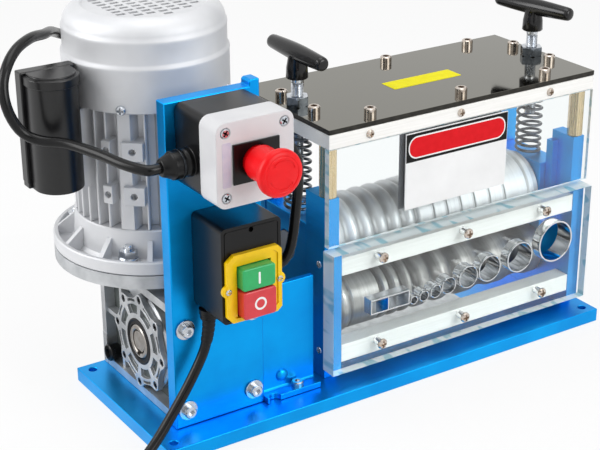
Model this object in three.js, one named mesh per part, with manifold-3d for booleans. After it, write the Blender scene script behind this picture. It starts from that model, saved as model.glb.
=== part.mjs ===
// Electric wire stripping machine: an upright motor on a worm gearbox drives a grooved lower roller;
// a bladed upper roller is pressed down on it by two springs. Millimetres, +Z up, +X along the base
// from the motor to the rollers, origin at the centre of the base plate's underside.

import * as THREE from 'three';
import { mergeVertices } from 'three/addons/utils/BufferGeometryUtils.js';
import Module from 'manifold-3d';

const wasm = await Module();
wasm.setup();

// Shared clearances
const fit = 0.3;
const past = 2;

// How many flat sides stand for a circle
const sides = { tiny: 6, small: 8, medium: 12, roller: 12, large: 16, huge: 22 };

// Base plate
const base = { length: 440, width: 160, thick: 12, holeRadius: 3.5, holeInset: 10, holeInsetX: 10 };
const deck = base.thick + fit;
const lineY = 7;

// Worm gearbox: sizes from its output axis, which lies on the centre line of the rollers
const gearbox = {
  x: -159, width: 71, front: 50, back: 71.5, height: 99.7, axisUp: 49.7, wormOffset: 40,
  wall: 7, recess: 9, bossDrop: 2.5, bossRadius: 40, cavityRadius: 33, wormBore: 16,
  neckRadius: 52, neckHeight: 8, flangeRadius: 80, flangeThick: 11, ribThick: 4,
  boltCircle: 65, boltRadius: 4, boltSpreadX: 30, boltLow: 14.7, boltHigh: 84.7,
};
const coverPlate = {
  radius: 37, proud: 3.5, hubRadius: 20, hubStep: 1.5, slotIn: 23, slotOut: 33, slotWide: 4, slotDeep: 2,
  ears: 6, earRadius: 4.5, earCircle: 38, earDegrees: 30,
};
const wheel = { shaftRadius: 14, bore: 9, boreDepth: 26, keyWide: 6, keyDeep: 3, radius: 29.5, width: 24 };
const plug = { radius: 8, length: 6, y: 56, up: 14.7, socket: 3.2, socketDeep: 3 };

// Ball-jointed drive shaft between the gearbox and the lower roller
const drive = { ball: 8, ballGap: 0.9, cup: 12, cupBack: 12, cupFront: 3, rod: 4, jointGapLeft: 12.3,
  jointGapRight: 9 };

// Motor, stacked on the gearbox's top flange
const shield = { radius: 80, thick: 10.7, drumRadius: 62, drumHeight: 19, pocketIn: 65, pocketOut: 76,
  pocketDeep: 7, pocketRib: 5, pockets: 8, bore: 44, floor: 4 };
const frame = { root: 50, tip: 61, bore: 44, height: 100.7, slotsPerQuarter: 9, ribSlots: 2, finRoot: 3.6,
  finTip: 2.2, ribWide: 12, padProud: 1.2, padHeight: 6, padWide: 8, lugOut: 65, lugHeight: 15, lugHole: 2.5,
  lugHoleDeep: 6, lugLow: 28.7, lugPitch: 36 };
const lugs = [{ degrees: -148, wide: 8 }, { degrees: -129, wide: 17 }];
const rotor = { core: 40, coreMargin: 10, shaft: 8, wormRadius: 9.2, wormHalf: 22, tail: 6 };
const fan = { radius: 53, plate: 2, blades: 6, bladeHigh: 26, bladeThick: 2.4, hub: 13, low: 9 };
const fanCover = {
  radius: 65, lap: 6, wall: 1.6, height: 70, stepUp: 35, stepRadius: 63.5, upperStepUp: 55, upperRadius: 62.5,
  shoulderUp: 60, topRadius: 50, screwRadius: 4, screwHeight: 3, slotLong: 12, slotWide: 3.5, slotPitchX: 15,
  slotPitchY: 7, slotReach: 31,
};
const capacitor = { wide: 44, plateThick: 10, plateLow: 41.7, plateHigh: 128.7, bodyRadius: 19, bodyDeep: 7,
  bodyLow: 37.7, bodyHigh: 126.7, lip: 1.5, lipLow: 117.7, plateY: -7 };
const terminal = { wide: 64, deep: 28, high: 52, low: 40, corner: 5, lid: 6, lidProud: 1.5, glandX: -11,
  glandRadius: 8, glandHigh: 6 };

// Switch bracket and the two control boxes on it
const bracket = { wide: 80, thick: 12, height: 266.7, tabWide: 9, tabHigh: 5, washer: 8, washerThick: 1.6,
  head: 5, headHigh: 5, shank: 3 };
const stopBox = {
  x: -160, up: 235.2, baseSize: 62, baseDeep: 36.7, wall: 3, corner: 6, coverSize: 64, coverDeep: 23,
  coverCorner: 8, screwPitch: 48, screwRadius: 3, screwHigh: 1, bezelWide: 38, bezelHigh: 28, bezelThick: 1.5,
  stem: 11, neck: 13, neckLong: 21, head: 17.5, headLong: 8, headRim: 2.5, travel: 4, stemLong: 30,
  glandRadius: 9, glandLong: 24, glandNut: 7, glandY: 20, glandUp: -7.5,
};
const switchBox = {
  x: -154.5, low: 103.2, wide: 51, high: 76.5, deep: 42.7, wall: 3, corner: 4, frameWide: 50, frameLow: 2,
  frameHigh: 54, frameThick: 3, frameRim: 6.5, earRadius: 5, earUp: 26, earOut: 24.5, cavityDeep: 30,
  buttonWide: 28, greenHigh: 17.6, redHigh: 22, buttonGap: 0.55, buttonProud: 8, redProud: 9,
  buttonInside: 14, buttonCorner: 2.5, glandRadius: 7.5, glandLong: 8, glandX: -19.5, glandY: 11.1,
  pinHole: 2, pinHoleDrop: 5,
};

// Angle guard over the drive shaft
const angle = { left: -119, right: -68, thick: 5, faceIn: 30, height: 97, foot: 11, boltX: -87.4,
  boltOut: 5.5, shank: 3, head: 5, headHigh: 4, notch: 5, notchX: -112 };

// Roller box: everything is placed about the box's centre on the line of the rollers
const rollerBox = { x: 77.5, endInset: 3 };
const sidePlate = { gap: 247, thick: 12, front: 58, back: 58, height: 159.7, slotFront: 31, slotBack: 31,
  guide: 8, guideThick: 6, guideUp: 8, screwRadius: 3.5, screwHigh: 0.6 };
const lower = { axisUp: 38.7, radius: 25, flangeRadius: 26, journal: 12, ringPitch: 11, rings: 3,
  ringDip: 1.8, sideGap: 2, grooveShare: 0.8, grooveDeep: 2.6 };
const upper = { radius: 34, nip: 1, ringPitch: 14.5, rings: 6, ringDip: 3.4, ringFlat: 6, journal: 12,
  sideGap: 13, bandDip: 2, bandGroove: 4, collarRadius: 35, collarWide: 7, discRadius: 32, discWide: 7 };
const bandShares = [0.25, 0.5, 0.78];
const block = { wide: 24, below: 32, above: 30, lap: 0.5, liftStop: 36.2 };
const spring = { outer: 12, wire: 1.3, curls: 11, seatGap: 0.3 };
const post = { acrossFlats: 12, length: 43, insetX: 6, insetY: 6 };
const rail = { thick: 12, sideWide: 26, frontWide: 20, overhang: 1.5, frontOver: 8 };
const topPlate = { thick: 4 };
const capScrew = { shank: 2.9, head: 5, headHigh: 6, endInset: 14, endSpread: 24, rowInset: 14 };
const rowShares = [0.177, 0.51, 0.84];
const handle = { rod: 5, nutFlats: 17, nutHigh: 8, hubRadius: 9, hubEdge: 1, hubLow: 22.5, hubHigh: 12.5,
  barUp: 21, barHalf: 40, barRadius: 7, barEnd: 5.5, tip: 3, leftDegrees: 88, rightDegrees: 101 };
const panel = { thick: 6, gap: 4, screwRoom: 2 };
const sign = { wide: 105, highShare: 0.783, thick: 1.2, left: 73, drop: 1 };
const guard = { thick: 15, low: 9, high: 116, bar: 15.7, upperBarUp: 92.7, lowerBarUp: 14.7,
  screwRadius: 3, screwHead: 4.6, screwHigh: 2.4 };
const guardScrewShares = [0.177, 0.496, 0.812];
const tray = { left: 14, right: 72, front: 36, back: 52, thick: 1.5, lip: 6 };

// Feeds through the lower guard, set out from the inner face of the left side plate: their centres and
// outer widths, rising in size, all on one sill
const feed = { length: 17, proud: 1.5, wallShare: 0.04, wallLeast: 0.75, sill: 53.5, flatHigh: 13, flatWall: 1,
  flatLeft: 22.5, flatFirst: 17.5, flatSecond: 21.5 };
const feeds = [
  { along: 66.5, across: 7.5 }, { along: 77, across: 9.5 }, { along: 89.4, across: 11.5 },
  { along: 103, across: 15 }, { along: 124, across: 20 }, { along: 147, across: 24 },
  { along: 180.6, across: 28 }, { along: 221, across: 38 },
];

// Leads: routes are points chosen by hand
const lead = { radius: 4, sides: 8, stepEvery: 22 };
const stopToMotor = [
  [-215.3, -75.6, 240], [-223.3, -75.6, 240], [-233, -62, 241.5], [-243, -36, 244.5], [-256, -10, 247],
  [-269, 3, 247.7], [-279, 9, 253.2], [-286.5, 11, 265.2], [-290, 13, 279.2], [-288.5, 17, 291.2],
  [-282, 23, 301.3], [-270.5, 33, 308.5], [-253, 47, 311], [-234, 66, 306.5], [-219, 88, 301],
  [-205, 108, 293], [-188, 118.5, 284], [-175, 119.5, 276], [-170, 119.3, 267.6], [-170, 119.3, 259.6],
];
const stopToSwitch = [
  [-125.7, -75.6, 240], [-117.7, -75.6, 240], [-107, -76, 235], [-101, -78, 222], [-101, -79, 205],
  [-103.5, -79.5, 185], [-106, -80, 168], [-110, -80, 152], [-114.5, -78.5, 144],
  [-120.7, -78, 142], [-128.7, -78, 142],
];
const mainsRoute = [
  [-174, -66.7, 107.2], [-174.6, -66.7, 99], [-178.5, -66.5, 82.4], [-190.5, -66.5, 60.4],
  [-206.5, -68.5, 40], [-229, -74, 18.5], [-246, -78, 7.5], [-262, -82, 4.2], [-280, -86, 4.1],
];
const coil = { x: -300, y: -150, outer: 56.5, step: 8.8, layerStep: 8.8, turns: 5.5, startTurn: 108,
  around: 16, sides: 6, tail: 26 };
const mainsPlug = { wide: 30, long: 36, relief: 28, reliefStart: 5, reliefEnd: 8, corner: 6, bladeLong: 16,
  bladeWide: 6.3, bladeThick: 1.5, bladePitch: 12.7, pin: 2.4, pinLong: 19, pinDrop: 8 };

// Levels worked out from the sizes above, all measured from the deck
const flangeLow = gearbox.height + gearbox.neckHeight;
const flangeTop = flangeLow + gearbox.flangeThick;
const shieldLow = flangeTop + fit;
const shieldTop = shieldLow + shield.thick;
const drumTop = shieldTop + shield.drumHeight;
const frameLow = drumTop + fit;
const frameTop = frameLow + frame.height;
const coverLow = frameTop - fanCover.lap;
const coverTop = coverLow + fanCover.height;
const faceX = gearbox.width / 2 - gearbox.bossDrop;
const coverFace = gearbox.width / 2 + coverPlate.proud;
const bracketBack = -gearbox.front - fit;
const bracketFront = bracketBack - bracket.thick;
const boxBack = lineY + bracketFront - fit;
const angleFace = -base.width / 2 + angle.faceIn;

const innerHalf = sidePlate.gap / 2;
const outerHalf = innerHalf + sidePlate.thick;
const upperAxisUp = lower.axisUp + lower.flangeRadius + upper.nip + upper.radius;
const blockLow = upperAxisUp - block.below;
const blockTop = upperAxisUp + block.above;
const postLow = sidePlate.height + fit;
const railLow = postLow + post.length + fit;
const railTop = railLow + rail.thick;
const plateLow = railTop + fit;
const plateTop = plateLow + topPlate.thick;
const nutLow = plateTop;
const boxHalf = outerHalf + rail.overhang;
const railFront = sidePlate.front + rail.frontOver;
const handleX = outerHalf - sidePlate.thick / 2 - block.wide / 4 - fit;

// Finishes
function finish(color, roughness, metalness, opacity = 1) {
  return new THREE.MeshStandardMaterial({
    color, roughness, metalness, opacity, transparent: opacity < 1, flatShading: true,
  });
}
const look = {
  blue: finish(0x0096e6, 0.35, 0.3),
  castGrey: finish(0xb9bcc0, 0.5, 0.6),
  silver: finish(0xc6c8cb, 0.4, 0.5),
  steel: finish(0x9c9c9e, 0.25, 1),
  blackSteel: finish(0x26282b, 0.4, 0.8),
  brass: finish(0xc8b080, 0.3, 1),
  springSteel: finish(0x3a3c40, 0.35, 1),
  blackPlastic: finish(0x1b1c1e, 0.45, 0),
  white: finish(0xf0eeee, 0.45, 0),
  red: finish(0xf0282c, 0.4, 0),
  yellow: finish(0xffd800, 0.45, 0),
  green: finish(0x00a850, 0.4, 0),
  pale: finish(0xe8e8e4, 0.35, 0.2),
  mirror: finish(0x8a8880, 0.12, 0.9),
  clear: finish(0xd8eef2, 0.05, 0, 0.3),
  cable: finish(0x141416, 0.5, 0),
};

// Plain forms, each made where it stands
const lay = {
  x: (geometry) => geometry.rotateZ(-Math.PI / 2),
  y: (geometry) => geometry,
  z: (geometry) => geometry.rotateX(Math.PI / 2),
};

function spot(axis, along, [first, second]) {
  if (axis === 'x') return [along, first, second];
  if (axis === 'y') return [first, along, second];
  return [first, second, along];
}

function box(xs, ys, zs) {
  const size = [xs, ys, zs].map(([low, high]) => high - low);
  const middle = [xs, ys, zs].map(([low, high]) => (low + high) / 2);
  return new THREE.BoxGeometry(...size).translate(...middle);
}

function about(centre, size) {
  return [centre - size / 2, centre + size / 2];
}

function rod(axis, radius, [from, to], centre, count = sides.medium, endRadius = radius) {
  const geometry = new THREE.CylinderGeometry(endRadius, radius, to - from, count);
  return lay[axis](geometry).translate(...spot(axis, (from + to) / 2, centre));
}

function hexagon(axis, acrossFlats, ends, centre, turn = 0) {
  const radius = acrossFlats / 2 / Math.cos(Math.PI / 6);
  const geometry = new THREE.CylinderGeometry(radius, radius, ends[1] - ends[0], 6).rotateY(turn);
  return lay[axis](geometry).translate(...spot(axis, (ends[0] + ends[1]) / 2, centre));
}

// A turned piece: the profile holds [radius, place along the axis] and starts and ends on the axis
function turned(axis, profile, centre, count = sides.medium) {
  const points = profile.map(([radius, along]) => new THREE.Vector2(radius, along));
  return lay[axis](new THREE.LatheGeometry(points, count)).translate(...spot(axis, 0, centre));
}

// A flat outline drawn on the plane across the axis, made solid between two places along it
function slab(axis, shape, [from, to], curveSegments = 2) {
  const geometry = new THREE.ExtrudeGeometry(shape, { depth: to - from, bevelEnabled: false, curveSegments });
  if (axis === 'z') return geometry.translate(0, 0, from);
  geometry.rotateX(Math.PI / 2);
  if (axis === 'y') return geometry.translate(0, to, 0);
  return geometry.rotateZ(Math.PI / 2).translate(from, 0, 0);
}

function outline(points) {
  return new THREE.Shape(points.map(([across, up]) => new THREE.Vector2(across, up)));
}

function roundedOutline([left, right], [low, high], corner) {
  const shape = new THREE.Shape();
  shape.moveTo(left + corner, low);
  shape.lineTo(right - corner, low);
  shape.absarc(right - corner, low + corner, corner, -Math.PI / 2, 0);
  shape.lineTo(right, high - corner);
  shape.absarc(right - corner, high - corner, corner, 0, Math.PI / 2);
  shape.lineTo(left + corner, high);
  shape.absarc(left + corner, high - corner, corner, Math.PI / 2, Math.PI);
  shape.lineTo(left, low + corner);
  shape.absarc(left + corner, low + corner, corner, Math.PI, Math.PI * 1.5);
  return shape;
}

function ringPlaces(count, radius, firstDegrees = 0) {
  return Array.from({ length: count }, (_, index) => {
    const turn = THREE.MathUtils.degToRad(firstDegrees) + (index / count) * Math.PI * 2;
    return { turn, at: [radius * Math.cos(turn), radius * Math.sin(turn)] };
  });
}

// Joining and cutting
function signedVolume(position, index) {
  const corner = [0, 1, 2].map(() => new THREE.Vector3());
  let sum = 0;
  for (let face = 0; face < index.length; face += 3) {
    corner.forEach((point, side) => point.fromBufferAttribute(position, index[face + side]));
    sum += corner[0].dot(corner[1].clone().cross(corner[2])) / 6;
  }
  return sum;
}

function solid(piece) {
  if (!(piece instanceof THREE.BufferGeometry)) return piece;
  const bare = piece.clone();
  bare.deleteAttribute('normal');
  bare.deleteAttribute('uv');
  const merged = mergeVertices(bare);
  const corners = Array.from(merged.index.array);
  const faces = [];
  for (let face = 0; face < corners.length; face += 3) {
    const [a, b, c] = corners.slice(face, face + 3);
    if (a !== b && b !== c && a !== c) faces.push(a, b, c);
  }
  if (signedVolume(merged.attributes.position, faces) < 0) faces.reverse();
  return new wasm.Manifold(new wasm.Mesh({
    numProp: 3,
    vertProperties: new Float32Array(merged.attributes.position.array),
    triVerts: new Uint32Array(faces),
  }));
}

function join(...pieces) {
  return pieces.flat().map(solid).reduce((whole, piece) => whole.add(piece));
}

function cut(body, ...tools) {
  return tools.flat().map(solid).reduce((whole, tool) => whole.subtract(tool), solid(body));
}

function mesh(name, piece, material) {
  const found = solid(piece).getMesh();
  const geometry = new THREE.BufferGeometry();
  geometry.setAttribute('position', new THREE.BufferAttribute(found.vertProperties, 3));
  geometry.setIndex(new THREE.BufferAttribute(found.triVerts, 1));
  geometry.computeVertexNormals();
  const made = new THREE.Mesh(geometry, material);
  made.name = name;
  return made;
}

function group(name, place, ...members) {
  const made = new THREE.Group();
  made.name = name;
  made.position.set(...place);
  made.add(...members.flat());
  return made;
}

// A cap screw whose shank ends inside the piece that carries it. It points along -Y when the axis is y and
// along +Z when the axis is z
function capScrewPiece(axis, at, seat, reach, { head, headHigh, shank }) {
  const out = axis === 'y' ? -1 : 1;
  const span = (from, to) => [Math.min(from, to), Math.max(from, to)];
  return join(
    rod(axis, head, span(seat, seat + out * headHigh), at, sides.small),
    rod(axis, shank, span(seat + out * headHigh / 2, reach), at, sides.tiny),
  );
}

// Base plate with its four fixing holes and the two holes of the angle guard's bolts
function basePlate() {
  const body = box(about(0, base.length), about(0, base.width), [0, base.thick]);
  const across = base.width / 2 - base.holeInset;
  const along = base.length / 2 - base.holeInsetX;
  const holes = [-1, 1].flatMap((sideX) => [-1, 1].map((sideY) => (
    rod('z', base.holeRadius, [-past, base.thick + past], [sideX * along, sideY * across], sides.small)
  )));
  const bolt = rod('z', angle.shank + fit, [-past, base.thick + past], angleBoltPlace(), sides.small);
  return mesh('base_plate', cut(body, holes, bolt), look.blue);
}

function angleBoltPlace() {
  return [angle.boltX, angleFace - angle.boltOut];
}

// Gearbox, in a frame whose x and y are zero on the output axis and whose z starts at the deck
function gearboxHousing() {
  const half = gearbox.width / 2;
  const level = [0, gearbox.axisUp];
  const between = [-gearbox.front + gearbox.wall, gearbox.back - gearbox.wall];
  const recesses = [-1, 1].map((side) => {
    const ends = [side * (half - gearbox.recess), side * (half + past)].sort((a, b) => a - b);
    return box(ends, between, [gearbox.wall, gearbox.height - gearbox.wall]);
  });
  const ribs = [-1, 1].flatMap((side) => {
    const ends = [side * (half - gearbox.recess - past), side * faceX].sort((a, b) => a - b);
    const upright = box(ends, about(gearbox.wormOffset, gearbox.ribThick), [0, gearbox.height]);
    const lying = box(ends, [-gearbox.front, gearbox.back], about(gearbox.axisUp, gearbox.ribThick));
    return [upright, lying];
  });
  const worm = [0, gearbox.wormOffset];
  const shell = join(
    cut(box(about(0, gearbox.width), [-gearbox.front, gearbox.back], [0, gearbox.height]), recesses),
    ribs,
    rod('x', gearbox.bossRadius, [-faceX, faceX], level, sides.large),
    rod('z', gearbox.neckRadius, [gearbox.height - gearbox.wall, flangeLow + past], worm, sides.large),
    rod('z', gearbox.flangeRadius, [flangeLow, flangeTop], worm, sides.huge),
  );
  const flangeHoles = ringPlaces(4, gearbox.boltCircle, 45).map(({ at: [x, y] }) => (
    rod('z', gearbox.boltRadius + fit, [flangeLow - past, flangeTop + past], [x, y + worm[1]], sides.small)
  ));
  const plugHole = rod('x', plug.radius - fit * 2, [-half - past, -half + gearbox.wall], [plug.y, plug.up]);
  const hollow = cut(
    shell,
    rod('x', gearbox.cavityRadius, [-half - past, half + past], level, sides.large),
    rod('z', gearbox.wormBore, [gearbox.wall, flangeTop + past], worm, sides.medium),
    flangeHoles,
    plugHole,
  );
  const washerFace = bracketFront - fit - bracket.washerThick;
  const bolts = bracketBoltPlaces().map((at) => join(
    rod('y', bracket.washer, [washerFace, bracketFront - fit], at, sides.medium),
    capScrewPiece('y', at, washerFace, -gearbox.front + past, bracket),
  ));
  return mesh('gearbox_housing', join(hollow, bolts), look.castGrey);
}

function bracketBoltPlaces() {
  return [-1, 1].flatMap((side) => (
    [gearbox.boltLow, gearbox.boltHigh].map((up) => [side * gearbox.boltSpreadX, up])
  ));
}

// Round output cover with screwed ears and radial slots around its hub
function gearboxCover(name, side, slotCount) {
  const span = (from, to) => [side * from, side * to].sort((a, b) => a - b);
  const seat = faceX + fit;
  const level = [0, gearbox.axisUp];
  const places = (count, radius, first) => ringPlaces(count, radius, first).map(({ turn, at }) => (
    { turn, at: [at[0], at[1] + gearbox.axisUp] }
  ));
  const ears = places(coverPlate.ears, coverPlate.earCircle, coverPlate.earDegrees).map(({ at }) => (
    rod('x', coverPlate.earRadius, span(seat, coverFace - coverPlate.hubStep), at, sides.small)
  ));
  const slots = places(slotCount, (coverPlate.slotIn + coverPlate.slotOut) / 2, 0).map(({ turn, at }) => {
    const length = coverPlate.slotOut - coverPlate.slotIn;
    const outer = coverFace + past;
    const low = coverFace - coverPlate.hubStep - coverPlate.slotDeep;
    const bar = box(span(low, outer), about(0, length), about(0, coverPlate.slotWide));
    return bar.rotateX(turn).translate(0, ...at);
  });
  const plate = cut(
    join(rod('x', coverPlate.radius, span(seat, coverFace - coverPlate.hubStep), level, sides.large), ears,
      rod('x', coverPlate.hubRadius, span(seat, coverFace), level, sides.medium)),
    slots,
    rod('x', wheel.shaftRadius + fit * 2, span(seat - past, coverFace + past), level, sides.medium),
  );
  return mesh(name, plate, look.castGrey);
}

// Where the two ball joints of the drive shaft stand, in the machine's frame
const leftBall = new THREE.Vector3(gearbox.x + coverFace + drive.jointGapLeft, lineY, deck + gearbox.axisUp);
const rightBall = new THREE.Vector3(
  rollerBox.x - outerHalf - drive.jointGapRight, lineY, deck + lower.axisUp,
);

function ballCup(centreX, side) {
  const span = (from, to) => [centreX + side * from, centreX + side * to].sort((a, b) => a - b);
  const ball = new THREE.SphereGeometry(drive.ball + drive.ballGap, sides.medium, sides.tiny);
  return { body: span(-drive.cupBack, drive.cupFront), hollow: (up) => ball.translate(centreX, 0, up) };
}

// Hollow output shaft with the worm wheel on it and the first ball cup at its driving end
function wormWheelShaft() {
  const level = [0, gearbox.axisUp];
  const cup = ballCup(leftBall.x - gearbox.x, 1);
  const whole = join(
    rod('x', wheel.shaftRadius, [-coverFace, cup.body[0] + past], level),
    rod('x', wheel.radius, about(0, wheel.width), level, sides.large),
    rod('x', drive.cup, cup.body, level),
  );
  return mesh('worm_wheel_shaft', cut(
    whole,
    rod('x', wheel.bore, [-coverFace - past, -coverFace + wheel.boreDepth], level),
    box([-coverFace - past, -coverFace + wheel.boreDepth], about(0, wheel.keyWide),
      [gearbox.axisUp - wheel.bore - wheel.keyDeep, gearbox.axisUp]),
    cup.hollow(gearbox.axisUp),
  ), look.steel);
}

function oilPlug() {
  const half = gearbox.width / 2;
  const at = [plug.y, plug.up];
  const seat = -half - fit;
  return mesh('oil_plug', cut(
    join(rod('x', plug.radius, [seat - plug.length, seat], at),
      rod('x', plug.radius - fit * 3, [seat - fit, -half + gearbox.wall / 2], at)),
    hexagon('x', plug.socket * 2, [seat - plug.length - past, seat - plug.length + plug.socketDeep], at),
  ), look.blackPlastic);
}

// Drive shaft: a straight rod with a ball at each end, tilted between the two cups
function driveShaft() {
  const length = rightBall.distanceTo(leftBall);
  const ball = (along) => (
    new THREE.SphereGeometry(drive.ball, sides.medium, sides.tiny).translate(0, along, 0)
  );
  const straight = new THREE.CylinderGeometry(drive.rod, drive.rod, length, sides.small);
  const whole = join(straight, ball(-length / 2), ball(length / 2));
  const made = mesh('drive_shaft', whole, look.steel);
  made.position.copy(leftBall.clone().add(rightBall).multiplyScalar(0.5));
  made.quaternion.setFromUnitVectors(new THREE.Vector3(0, 1, 0), rightBall.clone().sub(leftBall).normalize());
  return made;
}

// Motor, in a frame whose x and y are zero on the motor's axis and whose z starts at the deck
function motorFlange() {
  const pocket = (turn) => {
    const half = (radius) => Math.PI / shield.pockets - shield.pocketRib / 2 / radius;
    const outer = half(shield.pocketOut);
    const inner = half(shield.pocketIn);
    const shape = new THREE.Shape();
    shape.absarc(0, 0, shield.pocketOut, turn - outer, turn + outer);
    shape.absarc(0, 0, shield.pocketIn, turn + inner, turn - inner, true);
    return slab('z', shape, [shieldTop - shield.pocketDeep, shieldTop + past], 3);
  };
  const turns = ringPlaces(shield.pockets, 1, 0).map(({ turn }) => turn + Math.PI / shield.pockets);
  const bosses = ringPlaces(4, gearbox.boltCircle, 45);
  const body = join(
    cut(rod('z', shield.radius, [shieldLow, shieldTop], [0, 0], sides.huge), turns.map(pocket)),
    bosses.map(({ at }) => (
      rod('z', gearbox.boltRadius * 2.4, [shieldLow, shieldTop - shield.pocketDeep / 2], at, sides.small))),
    rod('z', shield.drumRadius, [shieldLow, drumTop], [0, 0], sides.huge),
  );
  const hollow = cut(
    body,
    rod('z', shield.bore, [shieldLow + shield.floor, drumTop + past], [0, 0], sides.large),
    rod('z', rotor.shaft + fit, [shieldLow - past, shieldLow + shield.floor + past], [0, 0]),
  );
  const headLow = shieldTop - shield.pocketDeep / 2;
  const flats = gearbox.boltRadius * 3.25;
  const bolts = bosses.map(({ at, turn }) => join(
    hexagon('z', flats, [headLow - fit, headLow + gearbox.boltRadius * 1.4], at, turn),
    rod('z', gearbox.boltRadius, [flangeLow - gearbox.boltRadius, headLow], at, sides.tiny),
  ));
  return mesh('motor_flange', join(hollow, bolts), look.silver);
}

// Finned motor housing: fins all round between four smooth ribs, lugs on one rib, pads for its neighbours
function motorFrame() {
  const slotTurn = Math.PI / 2 / frame.slotsPerQuarter;
  const bumps = [];
  for (let quarter = 0; quarter < 4; quarter += 1) {
    const rib = Math.PI / 4 + quarter * Math.PI / 2;
    bumps.push({ turn: rib, root: frame.ribWide + frame.finRoot, tip: frame.ribWide });
    for (let fin = frame.ribSlots; fin < frame.slotsPerQuarter; fin += 1) {
      const turn = rib + (fin - frame.ribSlots / 2 + 0.5) * slotTurn;
      bumps.push({ turn, root: frame.finRoot, tip: frame.finTip });
    }
  }
  const points = bumps.flatMap(({ turn, root, tip }) => (
    [[frame.root, -root], [frame.tip, -tip], [frame.tip, tip], [frame.root, root]].map(([radius, wide]) => {
      const at = turn + wide / 2 / radius;
      return [radius * Math.cos(at), radius * Math.sin(at)];
    })
  ));
  const pads = ringPlaces(4, 1, 45).map(({ turn }) => (
    box([frame.root - past, frame.tip + frame.padProud], about(0, frame.padWide), [frameTop - frame.padHeight,
      frameTop]).rotateZ(turn)
  ));
  const blocks = lugs.flatMap(({ degrees, wide }) => [0, 1].map((row) => {
    const low = frameLow + frame.lugLow - frame.lugHeight / 2 + row * frame.lugPitch;
    const body = box([frame.root - past, frame.lugOut], about(0, wide), [low, low + frame.lugHeight]);
    const hole = rod('x', frame.lugHole, [frame.lugOut - frame.lugHoleDeep, frame.lugOut + past],
      [0, low + frame.lugHeight / 2], sides.tiny);
    return solid(cut(body, hole)).rotate([0, 0, degrees]);
  }));
  const sidePad = box([-fanCover.radius, past - frame.root], about(capacitor.plateY, capacitor.plateThick),
    [frameLow + capacitor.plateLow, coverLow - past]);
  const backPad = box(about(0, terminal.wide / 2), [frame.root - past, frame.tip + frame.padProud],
    [frameLow + terminal.low, frameLow + terminal.low + terminal.high]);
  const body = join(slab('z', outline(points), [frameLow, frameTop]), pads, blocks, sidePad, backPad);
  const bore = rod('z', frame.bore, [frameLow - past, frameTop + past], [0, 0], sides.large);
  return mesh('motor_frame', cut(body, bore), look.silver);
}

function motorRotor() {
  const low = gearbox.axisUp - rotor.wormHalf;
  const high = gearbox.axisUp + rotor.wormHalf;
  const coreLow = frameLow + rotor.coreMargin;
  const coreHigh = frameTop - rotor.coreMargin;
  const end = frameTop + fan.low + fan.bladeHigh;
  const profile = [
    [0, low - rotor.tail], [rotor.shaft - fit * 2, low - rotor.tail], [rotor.shaft - fit * 2, low],
    [rotor.wormRadius, low], [rotor.wormRadius, high], [rotor.shaft, high], [rotor.shaft, coreLow],
    [rotor.core, coreLow], [rotor.core, coreHigh], [rotor.shaft, coreHigh], [rotor.shaft, end], [0, end],
  ];
  return mesh('motor_rotor', turned('z', profile, [0, 0], sides.medium), look.steel);
}

function coolingFan() {
  const low = frameTop + fan.low;
  const plateTopZ = low + fan.plate;
  const blades = ringPlaces(fan.blades, 1).map(({ turn }) => (
    box([fan.hub - past, fan.radius], about(0, fan.bladeThick), [low, low + fan.bladeHigh]).rotateZ(turn)
  ));
  const whole = join(
    rod('z', fan.radius, [low, plateTopZ], [0, 0], sides.large),
    rod('z', fan.hub, [low, low + fan.bladeHigh], [0, 0]),
    blades,
  );
  const bore = rod('z', rotor.shaft + fit, [low - past, low + fan.bladeHigh + past], [0, 0]);
  return mesh('cooling_fan', cut(whole, bore), look.blackPlastic);
}

// Fan cover: a stepped drawn shell with rows of slots through its flat top
function fanCoverShell() {
  const c = fanCover;
  const outer = [
    [c.radius, coverLow], [c.radius, coverLow + c.stepUp], [c.stepRadius, coverLow + c.stepUp + c.wall],
    [c.stepRadius, coverLow + c.upperStepUp], [c.upperRadius, coverLow + c.upperStepUp + c.wall],
    [c.upperRadius, coverLow + c.shoulderUp],
    [(c.upperRadius * 3 + c.topRadius) / 4, coverTop - (c.height - c.shoulderUp) / 3],
    [c.topRadius, coverTop],
  ];
  const inner = [
    [c.radius - c.wall, coverLow], [c.radius - c.wall, frameTop + c.wall],
    [c.upperRadius - c.wall, frameTop + c.wall * 2],
    [c.upperRadius - c.wall, coverLow + c.shoulderUp - c.wall], [c.topRadius - c.wall, coverTop - c.wall],
  ];
  const profile = [[0, coverTop], ...outer.slice().reverse(), ...inner, [0, coverTop - c.wall]];
  const slots = [];
  const through = [coverTop - c.wall - past, coverTop + past];
  const rows = Math.floor(c.slotReach / c.slotPitchY);
  for (let row = -rows; row <= rows; row += 1) {
    const y = row * c.slotPitchY;
    const reach = Math.sqrt(c.slotReach ** 2 - y ** 2);
    const count = Math.max(1, Math.floor(reach * 2 / c.slotPitchX));
    for (let slot = 0; slot < count; slot += 1) {
      const x = (slot - (count - 1) / 2) * c.slotPitchX;
      slots.push(box(about(x, c.slotLong), about(y, c.slotWide), through));
    }
  }
  const screws = ringPlaces(4, 1, 45).map(({ turn }) => (
    rod('x', c.screwRadius, [frame.tip + frame.padProud + fit, c.radius + c.screwHeight],
      [0, frameTop - frame.padHeight / 2], sides.small).rotateZ(turn)
  ));
  const shell = cut(turned('z', profile, [0, 0], sides.huge), join(...slots));
  return mesh('fan_cover', join(shell, screws), look.silver);
}

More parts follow.
